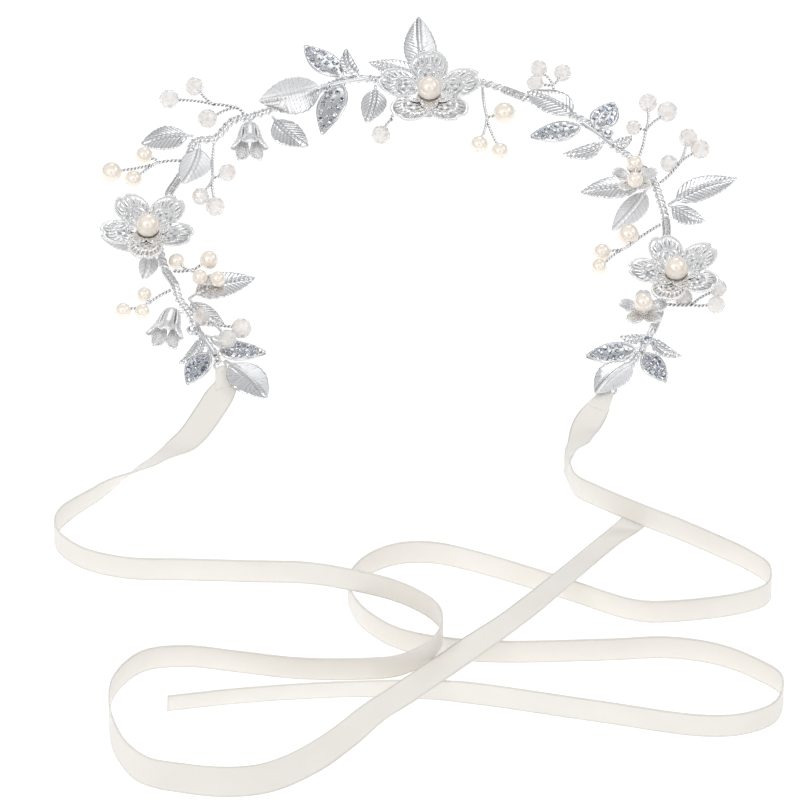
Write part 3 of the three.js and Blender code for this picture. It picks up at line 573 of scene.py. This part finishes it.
def gem(c, r, up, round_bead=False):
    """a faceted stone: a cut crown on a setting, or a whole faceted bead"""
    up = unit(up)
    x = unit(np.cross(up, v3(0.31, 1, 0.2)))
    y = np.cross(up, x)
    if round_bead:
        levels = [(math.cos(e), math.sin(e)) for e in np.radians([-68, -40, -13, 13, 40, 68])]
        n = 9
    else:
        levels, n = [(1, -0.25), (1, 0), (0.8, 0.3), (0.52, 0.46)], 8
    V, F = [], []
    for k, (rad, h) in enumerate(levels):
        for i in range(n):
            a = 2 * math.pi * (i + 0.5 * (k % 2)) / n
            V.append(c + r * (rad * (x * math.cos(a) + y * math.sin(a)) + up * h))
    for k in range(len(levels) - 1):
        for i in range(n):
            j = (i + 1) % n
            a, b, p, q = k * n + i, k * n + j, (k + 1) * n + i, (k + 1) * n + j
            F += [(a, b, q), (a, q, p)] if k % 2 else [(a, b, p), (b, q, p)]
    e = (len(levels) - 1) * n
    return V, [np.array(F), np.arange(n)[None, ::-1], (np.arange(n) + e)[None]]


def twisted(S, path, gauge, pitch, strands=2, reach=None, sides=6, phase=0.0, per=9):
    """strands wound round each other along a path, with painted shade where they meet"""
    reach = reach or gauge
    path = np.asarray(path, float)
    s = lengths(path)
    n = max(6, int(s[-1] / pitch * per))
    u = np.linspace(0, s[-1], n)
    P = np.stack([np.interp(u, s, path[:, k]) for k in range(3)], 1)
    T = np.gradient(P, axis=0)
    T /= np.linalg.norm(T, axis=1, keepdims=True)
    side = np.cross(T, UP)
    side /= np.linalg.norm(side, axis=1, keepdims=True) + 1e-9
    lift = np.cross(side, T)
    for k in range(strands):
        a = (2 * np.pi * (u / pitch + k / strands) + phase)[:, None]
        V, F = sweep(P + reach * (np.cos(a) * side + np.sin(a) * lift), gauge, sides)
        # painted shade: the nearer a point lies to the path's middle, between the strands, the darker it is
        # painted
        far = np.linalg.norm(V - np.repeat(P, sides, axis=0), axis=1)
        S.add(V, F, np.clip(1.25 - far / (reach + 0.3 * gauge), 0, 1) ** 0.7)


# ---- leaves ----
def leaf(S, a, b, width, roll=0.0, thick=0.55, kind="rib", nu=72, nv=23, bend=0.0, curl=0.0, satin_side=0):
    """a pointed, toothed blade with a midrib and slanting veins, in silver (0) or satin silver (1);
    satin_side makes half of the upper face satin; returns its surface"""
    along = b - a
    L = np.linalg.norm(along)
    along = along / L
    side = unit(np.cross(UP, along))
    r = math.radians(roll)
    side = side * math.cos(r) + np.cross(along, side) * math.sin(r)
    top = unit(np.cross(along, side))
    s = np.linspace(0, 1, nu)[:, None]
    v = np.linspace(-1, 1, nv)[None, :]
    t = np.clip((s - 0.12) / 0.88, 0, 1)
    blade = np.sin(np.pi * t ** 0.8) ** 0.8
    teeth = L / 2.3
    tooth = 1 + (0.07 * ((s * teeth) % 1 - 0.4) if kind in ("rib", "fine") else 0) * (t > 0.06)
    half = np.maximum(0.45 * (1 - 0.5 * s), 0.5 * width * blade * tooth)
    x = half * v
    ax = np.abs(x)
    z = 0.05 * L * np.sin(np.pi * s) - 0.14 * half * np.abs(v) ** 1.6 + curl * s ** 3
    painted_shade = np.zeros((nu, nv))
    inside = np.clip(half / (0.18 * width), 0, 1)
    if kind in ("rib", "fine", "satin"):
        gap = {"rib": 1.55, "fine": 0.95, "satin": 1.9}[kind]
        phase = (s * L - 0.85 * ax) / gap
        w = np.abs(np.sin(np.pi * phase))
        deep = {"rib": 0.3, "fine": 0.18, "satin": 0.16}[kind]
        z = z + inside * (deep * (w ** 0.6 - 0.6))
        # painted shade in the vein grooves
        painted_shade = inside * np.exp(-(w / 0.26) ** 2) * {"rib": 0.75, "fine": 0.6, "satin": 0.35}[kind]
        z = z + 0.32 * np.exp(-(x / 0.4) ** 2) * inside - 0.14 * inside * np.exp(-((ax - 0.85) / 0.3) ** 2)
        # painted shade along the groove inside the rim
        painted_shade = np.maximum(painted_shade, 0.55 * inside * np.exp(-((ax - 0.8) / 0.2) ** 2))
    elif kind == "stone":
        z = z - 0.35 * inside * (np.abs(v) < 0.82)
        # painted shade over the whole recessed bed under the stones
        painted_shade = 0.35 * inside * (np.abs(v) < 0.8)
    mid = a + along * (s * L)[..., None]
    sway = bend * np.sin(np.pi * s) * L
    P = mid + side * (x + sway)[..., None] + top * z[..., None]
    V, F = slab(P, thick)
    mat = 1 if kind == "satin" else 0
    if satin_side:
        half_face = np.tile((np.arange(nv - 1) < (nv - 1) / 2) == (satin_side < 0), nu - 1)
        mat = [half_face.astype(int), 0, 0]
    S.add(V, F, np.concatenate([painted_shade.ravel(), painted_shade.ravel()]), mat=mat)
    return P, top, side, along, L, half


def paved(S, surface, rows_of=4, stone=1.15):
    """two rows of stones and a few between them, each held by four bead prongs, with a beaded rim"""
    P, top, side, along, L, half = surface
    nu, nv = P.shape[:2]

    def at(s, v):
        return P[int(round(s * (nu - 1))), int(round((v + 1) / 2 * (nv - 1)))]
    spots = [(0.27, 0.0, 0.8)]
    for k in range(rows_of):
        s = 0.38 + 0.41 * k / (rows_of - 1)
        w = half[int(round(s * (nu - 1)))][0]
        v = min(0.56, max(0.34, (w - 1.2) / w))
        big = min(1.0, w / 3.0)
        spots += [(s, v, big), (s, -v, big)]
        if k < rows_of - 1:
            spots.append((s + 0.205 / (rows_of - 1), 0.0, 0.72))
    spots.append((0.9, 0.0, 0.7))
    for s, v, big in spots:
        c = at(s, v) + top * 0.62
        S.add(*gem(c, stone * big, top + side * 0.22 * v), mat=2, facet=True)
        for a in (45, 135, 225, 315):
            d = along * math.cos(math.radians(a)) + side * math.sin(math.radians(a))
            S.add(*ball(c + d * (stone * big + 0.12) - top * 0.05, 0.25, 7, 5), mat=0)
    for k in range(12):
        for v in (-0.92, 0.92):
            S.add(*ball(at(0.24 + 0.055 * k, v) + top * 0.28, 0.32, 7, 5), mat=0)


LOOK = {  # for each blade: finish, sideways bend, tip curl and which half is satin
    "end_leaf_left": [("fine", 0.03, 0.6, 1)], "pale_leaf_left": [("satin", -0.08, 0.0, 0)],
    "leaf_pair_left": [("rib", 0.08, 1.6, 0), ("rib", -0.1, 0.4, 0)],
    "leaf_pair_flower_left": [("satin", 0.06, 0.0, 0), ("satin", 0.05, 0.3, 0)],
    "leaf_upper_left_b": [("satin", 0.08, 0.0, 0)], "leaf_upper_left_a": [("rib", -0.05, 0.3, 0)],
    "leaf_over_stem_left": [("fine", 0.04, 0.0, -1)], "leaf_below_left": [("rib", -0.08, 0.4, 0)],
    "leaf_pair_centre": [("rib", 0.03, 0.8, -1), ("rib", -0.06, 0.2, 0)],
    "leaf_centre_low": [("rib", 0.06, 0.0, 0)], "leaf_over_stem_right": [("rib", -0.05, 0.3, 0)],
    "leaf_pair_right_inner": [("rib", -0.04, 0.4, 0), ("satin", 0.06, 0.2, 0)],
    "leaf_pair_right_outer": [("rib", 0.05, 0.8, 0), ("rib", -0.08, 0.3, 0)],
    "end_leaf_right": [("fine", -0.05, 0.5, 1)]}
for name, (share, blades) in LEAVES.items():
    S = Shape()
    for (p, q, w, roll), (kind, bend, curl, half_satin) in zip(blades, LOOK[name]):
        a, b = off(share, p), off(share, q)
        leaf(S, a, b, w, roll, 0.5, kind, bend=bend, curl=curl, satin_side=half_satin)
    S.make(name + "_cast", BODY[name], [BRIGHT, SATIN_SILVER], nodes=[name])

for name, (share, start, end, cup, blades) in BRANCHES.items():
    S = Shape()
    a, b, c = off(share, start), off(share, end), off(share, cup)
    line = [a + (b - a) * t + UP * 0.25 * math.sin(math.pi * t) for t in np.linspace(0, 1, 18)]
    S.add(*sweep(line, [0.75 + 0.12 * math.sin(9 * t) for t in np.linspace(0, 1, 18)], 12))
    for k, (p, q, w, kind) in enumerate(blades):
        p, q = off(share, p), off(share, q)
        if kind == "s":
            paved(S, leaf(S, p, q, w, 0, 0.9, "stone", 48, 15, bend=0.03 * (-1) ** k), 4)
        else:
            leaf(S, p, q, w, 0, 0.8, "rib", 48, 15, bend=0.16 * (-1) ** k, curl=0.7)
    S.add(*torus(c + UP * 0.7, UP, 1.55, 0.42, 28, 9))
    S.add(*sweep([c - UP * 0.75, c - UP * 0.3, c + UP * 0.6], [1.35, 1.6, 1.85], 20))
    S.add(*gem(c + UP * 0.75, 1.4, UP), mat=2, facet=True)
    for k in range(8):
        d = v3(math.cos(k * math.pi / 4), math.sin(k * math.pi / 4))
        S.add(*ball(c + d * 1.5 + UP * 1.02, 0.3, 7, 5))
    S.make(name + "_cast", BODY[name], [BRIGHT, SATIN_SILVER, STONE], nodes=[name], flat=[2])

# ---- stem: three strands wound together and bound with a thin wire; eyelets at its tips ----
cuts = [0] + FLEX + [1]
for k, name in enumerate(STEMS):
    S = Shape()
    lo, hi = cuts[k] * STEM_LENGTH, cuts[k + 1] * STEM_LENGTH
    u = np.linspace(lo + (0.1 if k else 0), hi - (0.1 if k < 5 else 0), max(8, int((hi - lo) / 1.2)))
    path = np.stack([np.interp(u, stem_s, stem_curve[:, j]) for j in range(3)], 1)
    twisted(S, path, 0.64, 4.6, 3, 0.7, 9, phase=2 * np.pi * lo / 4.6, per=14)
    twisted(S, path, 0.25, 2.9, 1, 1.3, 6, phase=1.3 + 2 * np.pi * lo / 2.9, per=14)
    if k in (0, 5):
        share = 1 if k else 0
        out = unit(stem_curve[-1] - stem_curve[-2]) if k else unit(stem_curve[0] - stem_curve[1])
        eye = stem_at(share) + out * 2
        S.add(*torus(eye, UP, 2, 0.5))
    S.make(name + "_wire", BODY[name], [WIRE], "silver_wire", [name])

# sleeves of wire over the bends, each lying along both lengths of stem
# parent and child body of each bend, and whether the child lies further along the stem
TREE = [("left_arm", "left_end", -1), ("centre", "left_arm", -1), ("centre", "right_shoulder", 1),
        ("right_shoulder", "right_arm", 1), ("right_arm", "right_end", 1)]
for k, (parent, child, way) in enumerate(TREE):
    S = Shape()
    s0 = FLEX[k] * STEM_LENGTH
    u = np.linspace(s0 - 4, s0 + 4, 20)
    path = np.stack([np.interp(u, stem_s, stem_curve[:, j]) for j in range(3)], 1)
    twisted(S, path, 0.24, 0.62, 1, 1.28, 6, per=12)
    p, q = (path[-1], path[0]) if way < 0 else (path[0], path[-1])
    ob = S.make(f"stem_wrap_{k + 1}", child, [WIRE], "silver_wire", ride=False)
    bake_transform(ob)

# ---- bead sprigs ----
for name, (share, forks, beads) in SPRIGS.items():
    body = name + "_sprig"
    centre = stem_at(share)
    points = [off(share, p) for p in forks]
    way = unit(points[0] - centre)
    slant = way.dot(stem_dir(share))
    root = centre + way * (STEM_R + 0.45 + WIRE_R * abs(slant)) / math.sqrt(1 - slant * slant)
    W, B = Shape(), Shape()
    last = root
    for p in points:
        sag = unit(np.cross(p - last, UP)) * 0.35
        twisted(W, [last + (p - last) * t + sag * math.sin(math.pi * t) for t in np.linspace(0, 1, 9)],
                0.36, 2.8, 2, 0.36)
        last = p
    pearl = name.startswith("pearl")
    for k, (x, y, z, r, fork) in enumerate(beads):
        c = off(share, (x, y, z))
        p = points[fork]
        d = unit(c - p)
        bow = unit(np.cross(d, UP)) * 0.5 * (-1) ** k
        near = c - d * (r - 0.3)
        twisted(W, [p + (near - p) * t + bow * math.sin(math.pi * t) for t in np.linspace(0, 1, 9)],
                0.32, 2.5, 2, 0.32, phase=k)
        W.add(*ball(c + d * (r - 0.05), 0.34, 8, 6))
        if pearl:
            B.add(*ball(c, r * 0.99, 36, 22, (1, 1, 0.985)))
        else:
            B.add(*gem(c, r * 1.02, unit(d + v3(0.2, -0.3, 0.4)), True), facet=True)
        W.add(*torus(c - d * (r - 0.12), d, 0.42, 0.16, 14, 6))
    W.make(name + "_wires", body, [WIRE], "silver_wire", [name])
    B.make(name + "_beads", body, [PEARL if pearl else CRYSTAL], "pearl" if pearl else "crystal", [name],
           flat=[] if pearl else [0])


# ---- filigree flowers ----
def blossom(S, c, inner, R, z0, rise, turn, lace=True, nu=300, nv=30, gap=0.5, lift=0.9, thick=0.55, bow=1.6):
    """five heart-shaped petals on a grid round the middle; lace cuts slots and small holes in them"""
    a = np.linspace(0, 2 * np.pi, nu, endpoint=False)[:, None]
    q = np.linspace(0, 1, nv)[None, :]
    five = 5 * (a - math.radians(turn))
    ph = np.cos(five)
    local = ((five / (2 * np.pi) + 0.5) % 1) - 0.5  # -0.5..0.5 across a petal
    notch = 0.06 * np.exp(-((1 - ph) / 0.06) ** 2)
    reach = R * (gap + (1 - gap) * ((1 + ph) / 2) ** 0.36 - notch)
    r = inner + (reach - inner) * q
    z = z0 + rise * (r / R) ** bow + lift * (np.abs(local) * 2) ** 2.2 * q * (1 - 0.35 * q)
    painted_shade = np.zeros((nu, nv))
    keep = np.ones((nu, nv - 1), bool)
    if lace:
        slot = np.cos(five * 11)
        band = np.clip(1 - np.abs(q - 0.79) / 0.11, 0, 1)
        z = z + 0.22 * np.sqrt(band) * slot - 0.12 * np.sqrt(band)
        # painted shade in the sunken slots of the lace band
        painted_shade = np.maximum(painted_shade, 0.95 * np.sqrt(band) * np.clip(-slot * 1.4, 0, 1))
        fa, fb = np.cos(five * 4), np.cos(2 * np.pi * (q * 4.2 + 0.1))
        inner_band = np.clip(1 - np.abs(q - 0.45) / 0.24, 0, 1) ** 0.4
        z = z + 0.16 * inner_band * fa * fb
        # painted shade in the dips of the inner lace
        painted_shade = np.maximum(painted_shade, inner_band * np.clip(-fa * fb * 1.6, 0, 1) * 0.8)
        rib = np.exp(-((q - 0.66) / 0.03) ** 2) + np.exp(-((q - 0.95) / 0.035) ** 2)
        z = z + 0.22 * rib
        qm, am = (q[:, 1:] + q[:, :-1]) / 2, five + np.pi * 5 / nu
        keep = ~((np.cos(am * 11) < -0.62) & (np.abs(qm - 0.79) < 0.075))
        keep &= ~((np.cos(am * 4) * np.cos(2 * np.pi * (qm * 4.2 + 0.1)) < -0.8) & (np.abs(qm - 0.45) < 0.22))
    P = np.stack([c[0] + r * np.cos(a), c[1] + r * np.sin(a), z + 0 * r], -1)
    V, F = pierced(P, thick, keep)
    S.add(V, F, np.concatenate([painted_shade.ravel(), painted_shade.ravel()]))
    return P


def beaded_rim(S, P, step=1.15, size=0.4, row=-1):
    """small beads along the outer edge"""
    edge = P[:, row]
    s = lengths(np.vstack([edge, edge[:1]]))
    for u in np.arange(0, s[-1], step):
        k = int(np.searchsorted(s, u)) % len(edge)
        S.add(*ball(edge[k] + UP * 0.12, size, 7, 5))


for name, (share, centre, R, turn) in FLOWERS.items():
    c = off(share, (*centre, 0))
    S = Shape()
    P = blossom(S, c, 1.6, R - 0.45, 5.7, CUP_RISE - 0.4, turn, bow=0.9)
    beaded_rim(S, P)
    S.make(name + "_filigree", BODY[name + "_petals"], [LACE], nodes=[name + "_petals"])
    S = Shape()
    P = blossom(S, c, 3.6, 4.2 + 0.2 * R, 7.6, 1.3, turn + 36, False, 160, 12, 0.52, 0.15, 0.35)
    beaded_rim(S, P, 1.0, 0.32)
    for k in range(10):
        a = math.radians(turn + 36 * k + 18)
        d = v3(math.cos(a), math.sin(a))
        line = [c + d * (4.3 + 2.6 * t) + UP * (8.3 + 1.5 * t) for t in np.linspace(0, 1, 7)]
        S.add(*sweep(line, 0.28, 7))
        S.add(*ball(line[-1], 0.5, 8, 6))
    S.make(name + "_inner_petals", BODY[name + "_rosette"], [LACE], nodes=[name + "_rosette"])
    S = Shape()
    S.add(*ball(c + UP * PEARL_Z, PEARL_R * 0.995, 56, 34))
    S.make(name + "_centre_pearl", BODY[name + "_pearl"], [PEARL], "pearl", [name + "_pearl"])

for name, (share, centre, R) in CUPS.items():
    c = off(share, (*centre, 0))
    S = Shape()
    P = blossom(S, c, 1.0, R, 5.35, 1.9, 90, False, 200, 16, 0.42, 0.7, 0.5)
    for k in range(5):
        for j in (-1, 0, 1):
            a = math.radians(90 + 72 * k + 14 * j)
            d = v3(math.cos(a), math.sin(a))
            line = [c + d * (1.6 + (R * (0.78 - 0.1 * abs(j)) - 1.6) * t) + UP * (5.75 + 1.7 * (
                (1.6 + (R * 0.78 - 1.6) * t) / R) ** 1.6) for t in np.linspace(0, 1, 8)]
            S.add(*sweep(line, 0.2 * (1.3 - np.linspace(0, 1, 8)), 6))
    S.make(name + "_petals", BODY[name], [LACE], nodes=[name])
high = off(0.728, (-3, -7, 0))
S, B = Shape(), Shape()
twisted(S, [high + v3(0, 3.6 - 8 * t, 9.4 + 0.2 * t) for t in np.linspace(0, 1, 12)], 0.26, 2.1)
B.add(*ball(high + v3(0, 3.6, 9.4), 2.7, 36, 22))
B.add(*ball(high + v3(0, -4.4, 9.6), 2.7, 36, 22))
pair = "cup_flower_high_pearls"
S.make("cup_flower_high_wire", BODY[pair], [WIRE], "silver_wire", [pair])
B.make("cup_flower_high_beads", BODY[pair], [PEARL], "pearl", [pair])
low = off(0.897, (-5.9, -4, 0))
B = Shape()
B.add(*ball(low + UP * 9.5, 3.28, 40, 24))
B.make("cup_flower_low_bead", BODY["cup_flower_low_pearl"], [PEARL], "pearl", ["cup_flower_low_pearl"])

# ---- bell flowers: five spoon-shaped petals on a smooth calyx, with six stamens ----
for name, (share, calyx, mouth) in BELLS.items():
    S = Shape()
    a, b = off(share, calyx), off(share, mouth)
    centre = stem_at(share)
    axis = b - a
    L = np.linalg.norm(axis)
    axis = axis / L
    side = unit(np.cross(UP, axis))
    up = np.cross(axis, side)
    for k in range(5):
        t0 = 2 * math.pi * (k + 0.25) / 5
        s = np.linspace(0, 1, 22)[:, None]
        v = np.linspace(-1, 1, 11)[None, :]
        out = 1.7 + 2.1 * s ** 0.6 + 2.6 * np.clip(s - 0.6, 0, 1)
        width = (1.1 + 0.45 * np.clip(s * 2, 0, 1) + 1.1 * np.clip((s - 0.5) * 3, 0, 1)) * np.sqrt(
            np.clip(1 - np.clip((s - 0.74) / 0.265, 0, 1) ** 2, 0.02, 1))
        ang = t0 + width * v / out
        rad = out - 0.7 * (v ** 2 - 0.4) * np.clip(s * 1.3, 0, 1)
        P = (a + axis * (s * L)[..., None] + 0 * v[..., None]
             + side * (1.3 * rad * np.cos(ang))[..., None] + up * (rad * np.sin(ang))[..., None])
        V, F = slab(P, 0.5)
        # painted shade lines along each petal, standing in for grooves that its shape does not have
        groove_shade = np.exp(-((np.abs(v) - 0.55) / 0.14) ** 2) * (s < 0.75) * 0.25
        S.add(V, F, np.concatenate([groove_shade.ravel(), groove_shade.ravel()]))
    S.add(*sweep([a - axis * 0.4, a, a + axis * 1.2, a + axis * 2.6], [0.9, 1.5, 1.75, 1.3], 16))
    for k in range(6):
        t = 2 * math.pi * k / 6
        d = side * math.cos(t) + up * math.sin(t)
        stamen = [a + axis * (0.5 + L * 0.5 * w) + d * (0.4 + 0.8 * w) for w in np.linspace(0, 1, 6)]
        S.add(*sweep(stamen, 0.2, 6))
        S.add(*ball(a + axis * (0.5 + L * 0.5) + d * 1.2, 0.38, 8, 6))
    way = unit(a - centre)
    slant = way.dot(stem_dir(share))
    root = centre + way * (STEM_R + 0.45 + WIRE_R * abs(slant)) / math.sqrt(1 - slant * slant)
    S.add(*sweep([root + (a - root) * t for t in np.linspace(0, 1, 5)], 0.7, 10))
    S.make(name + "_cast", BODY[name], [CAST], nodes=[name])

# flower bases keep their CAD shape
for name in FLOWERS:
    ob = frame["nodes"][name + "_base"]
    ob.data.materials.clear()
    ob.data.materials.append(SATIN_SILVER)


# ---- ribbons ----
def band(route, nu=420, nv=11):
    """a ribbon's grid of points along its route, its place across and along it, and its length"""
    pts, par = catmull([p[:3] for p in route], 28)
    s = lengths(pts)
    u = np.linspace(0, s[-1], nu)
    P = np.stack([np.interp(u, s, pts[:, k]) for k in range(3)], 1)
    t = np.interp(u, s, par)
    T = np.gradient(P, axis=0)
    T[:, 2] = 0
    T /= np.linalg.norm(T, axis=1, keepdims=True)
    k = np.minimum(len(route) - 2, t.astype(int))
    f = t - k
    e = f * f * (3 - 2 * f)
    lean = np.array([p[3] for p in route], float)
    a = np.radians(lean[k] * (1 - e) + lean[k + 1] * e)[:, None]
    across = np.cross(UP, T) * np.cos(a) + UP * np.sin(a)
    face = np.cross(T, across)
    v = np.linspace(-1, 1, nv)
    narrow = 1 - 0.2 * np.exp(-(u / 3.5) ** 2)
    pleat = np.exp(-(u / 7.0) ** 2)[:, None] * 0.16 * np.cos(np.pi * 3 * v)[None]
    grid = (P[:, None] + across[:, None] * (narrow[:, None] * v[None] * RIBBON_W / 2)[..., None]
            + face[:, None] * pleat[..., None])
    uv = np.stack([np.broadcast_to(u[:, None], (nu, nv)), np.broadcast_to(v[None], (nu, nv))], -1)
    return grid, uv.reshape(-1, 2), s[-1]


for side, route, (parent, child) in ((0, RIBBON_LEFT, ("left_arm", "left_end")),
                                     (1, RIBBON_RIGHT, ("right_arm", "right_end"))):
    word = "right" if side else "left"
    grid, uv, length = band(route)
    S = Shape()
    V, F = slab(grid, RIBBON_T)
    S.add(V, F, uv=np.vstack([uv, uv]))
    tie = S.make("satin_" + word, child, [SATIN], "satin_ribbon", ["ribbon_" + word], ride=False)
    out = unit(stem_curve[-1] - stem_curve[-2]) if side else unit(stem_curve[0] - stem_curve[1])
    eye = stem_at(side) + out * 2
    cross = np.cross(UP, out)
    K = Shape()
    start = v3(*route[0][:3])
    way = unit(start - eye)
    wide = unit(np.cross(UP, way))
    around, steps = 72, 22
    a = np.linspace(0, 2 * np.pi, around, endpoint=False)[:, None]
    t = np.linspace(0, 1, steps)[None]
    low, high = eye + way * 1.2, start + way * 1.6
    hood = low + (high - low) * t[0][:, None]
    half = 2.0 + 2.3 * t ** 0.9
    deep = 1.35 - 0.8 * t + 0.12 * np.sin(7 * a + 3 * t) * (1 - t)
    P = (hood[None] + wide * (half * np.sign(np.cos(a)) * np.abs(np.cos(a)) ** 0.8)[..., None]
         + UP * (deep * np.sin(a) + 0.35 * np.sin(np.pi * t))[..., None])
    rim = np.arange(around)[None] * steps
    K.add(P.reshape(-1, 3), [quads(around, steps, True)[:, ::-1], rim, rim[:, ::-1] + steps - 1],
          uv=np.stack([8 * a + 0 * t, 1.6 * t - 0.8 + 0 * a], -1).reshape(-1, 2))
    for w in (-0.45, 0.0, 0.45):
        K.add(*torus(eye + out * 2 + cross * w, cross, 1.35, 0.3, 26, 8))
    knot = K.make("tied_knot_" + word, child, [SATIN], "satin_ribbon", ["knot_" + word])
    path = [tuple((np.array(p[:3]) + SHIFT) * MM) for p in route]
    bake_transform(tie)

# ---- floor, world and lights ----
bpy.ops.mesh.primitive_grid_add(x_subdivisions=4, y_subdivisions=4, size=6)
floor = bpy.context.object
floor.name = "table"
m, nodes, links, p = material("white_table")
glow = nodes.new("ShaderNodeEmission")
glow.inputs["Color"].default_value, glow.inputs["Strength"].default_value = (1, 1, 1, 1), 0.9
both = nodes.new("ShaderNodeAddShader")
p.inputs["Roughness"].default_value = 0.9
p.inputs["Specular IOR Level"].default_value = 0
grey = noise(nodes, links, 3)
links.new(ramp(nodes, links, grey.outputs["Fac"], [(0.0, (0.3, 0.3, 0.3)), (1.0, (0.32, 0.32, 0.32))])
          .outputs["Color"], p.inputs["Base Color"])
links.new(p.outputs[0], both.inputs[0])
links.new(glow.outputs[0], both.inputs[1])
links.new(both.outputs[0], nodes["Material Output"].inputs["Surface"])
floor.data.materials.append(m)

world = bpy.data.worlds.new("tent")
scene.world = world
world.use_nodes = True
nodes, links = world.node_tree.nodes, world.node_tree.links
sky = nodes.new("ShaderNodeTexCoord")
back = nodes["Background"]


def toward(d):
    """how far a direction points toward d, from -1 to 1"""
    dot = nodes.new("ShaderNodeVectorMath")
    dot.operation = "DOT_PRODUCT"
    dot.inputs[1].default_value = tuple(unit(v3(*d)))
    links.new(sky.outputs["Generated"], dot.inputs[0])
    return dot.outputs["Value"]


# a dim horizon under a bright dome, a glow in front and above with a dimmer middle, and one dark stripe
height = ramp(nodes, links, to_range(nodes, links, toward((0, 0, 1)), -1, 1, 0, 1), [
    (0.0, (0.9, 0.9, 0.9)), (0.5, (0.24, 0.245, 0.26)), (0.57, (0.3, 0.305, 0.32)),
    (0.67, (0.66, 0.663, 0.67)), (0.84, (0.84, 0.842, 0.85)), (0.94, (0.78, 0.782, 0.79)),
    (1.0, (0.66, 0.663, 0.67))])
lens = ramp(nodes, links, toward((0, -1, 1)), [
    (0.0, (1, 1, 1)), (0.66, (1, 1, 1)), (0.8, (1.9, 1.89, 1.88)), (0.95, (1.9, 1.89, 1.88)),
    (0.972, (0.6, 0.58, 0.55)), (1.0, (0.5, 0.48, 0.45))])
stripe = ramp(nodes, links, toward((1, 0.35, 0.25)), [
    (0.0, (1, 1, 1)), (0.58, (1, 1, 1)), (0.64, (0.4, 0.41, 0.43)), (0.70, (0.4, 0.41, 0.43)),
    (0.76, (1, 1, 1))])
colour = mixed(nodes, links, 1.0, height.outputs["Color"], lens.outputs["Color"], "MULTIPLY")
links.new(mixed(nodes, links, 1.0, colour, stripe.outputs["Color"], "MULTIPLY"), back.inputs["Color"])
back.inputs["Strength"].default_value = 0.86


def area(name, place, size, power):
    """a soft square light that points at the middle"""
    light = bpy.data.objects.new(name, bpy.data.lights.new(name, "AREA"))
    light.data.size, light.data.energy = size, power
    light.location = place
    light.rotation_euler = Vector(-np.array(place, float)).to_track_quat("-Z", "Y").to_euler()
    scene.collection.objects.link(light)


area("key", (-0.7, -0.5, 1.1), 0.4, 2.6)
area("fill", (0.9, 0.2, 0.9), 0.6, 1.6)
area("rim", (0.1, 1.0, 0.7), 0.6, 1.2)
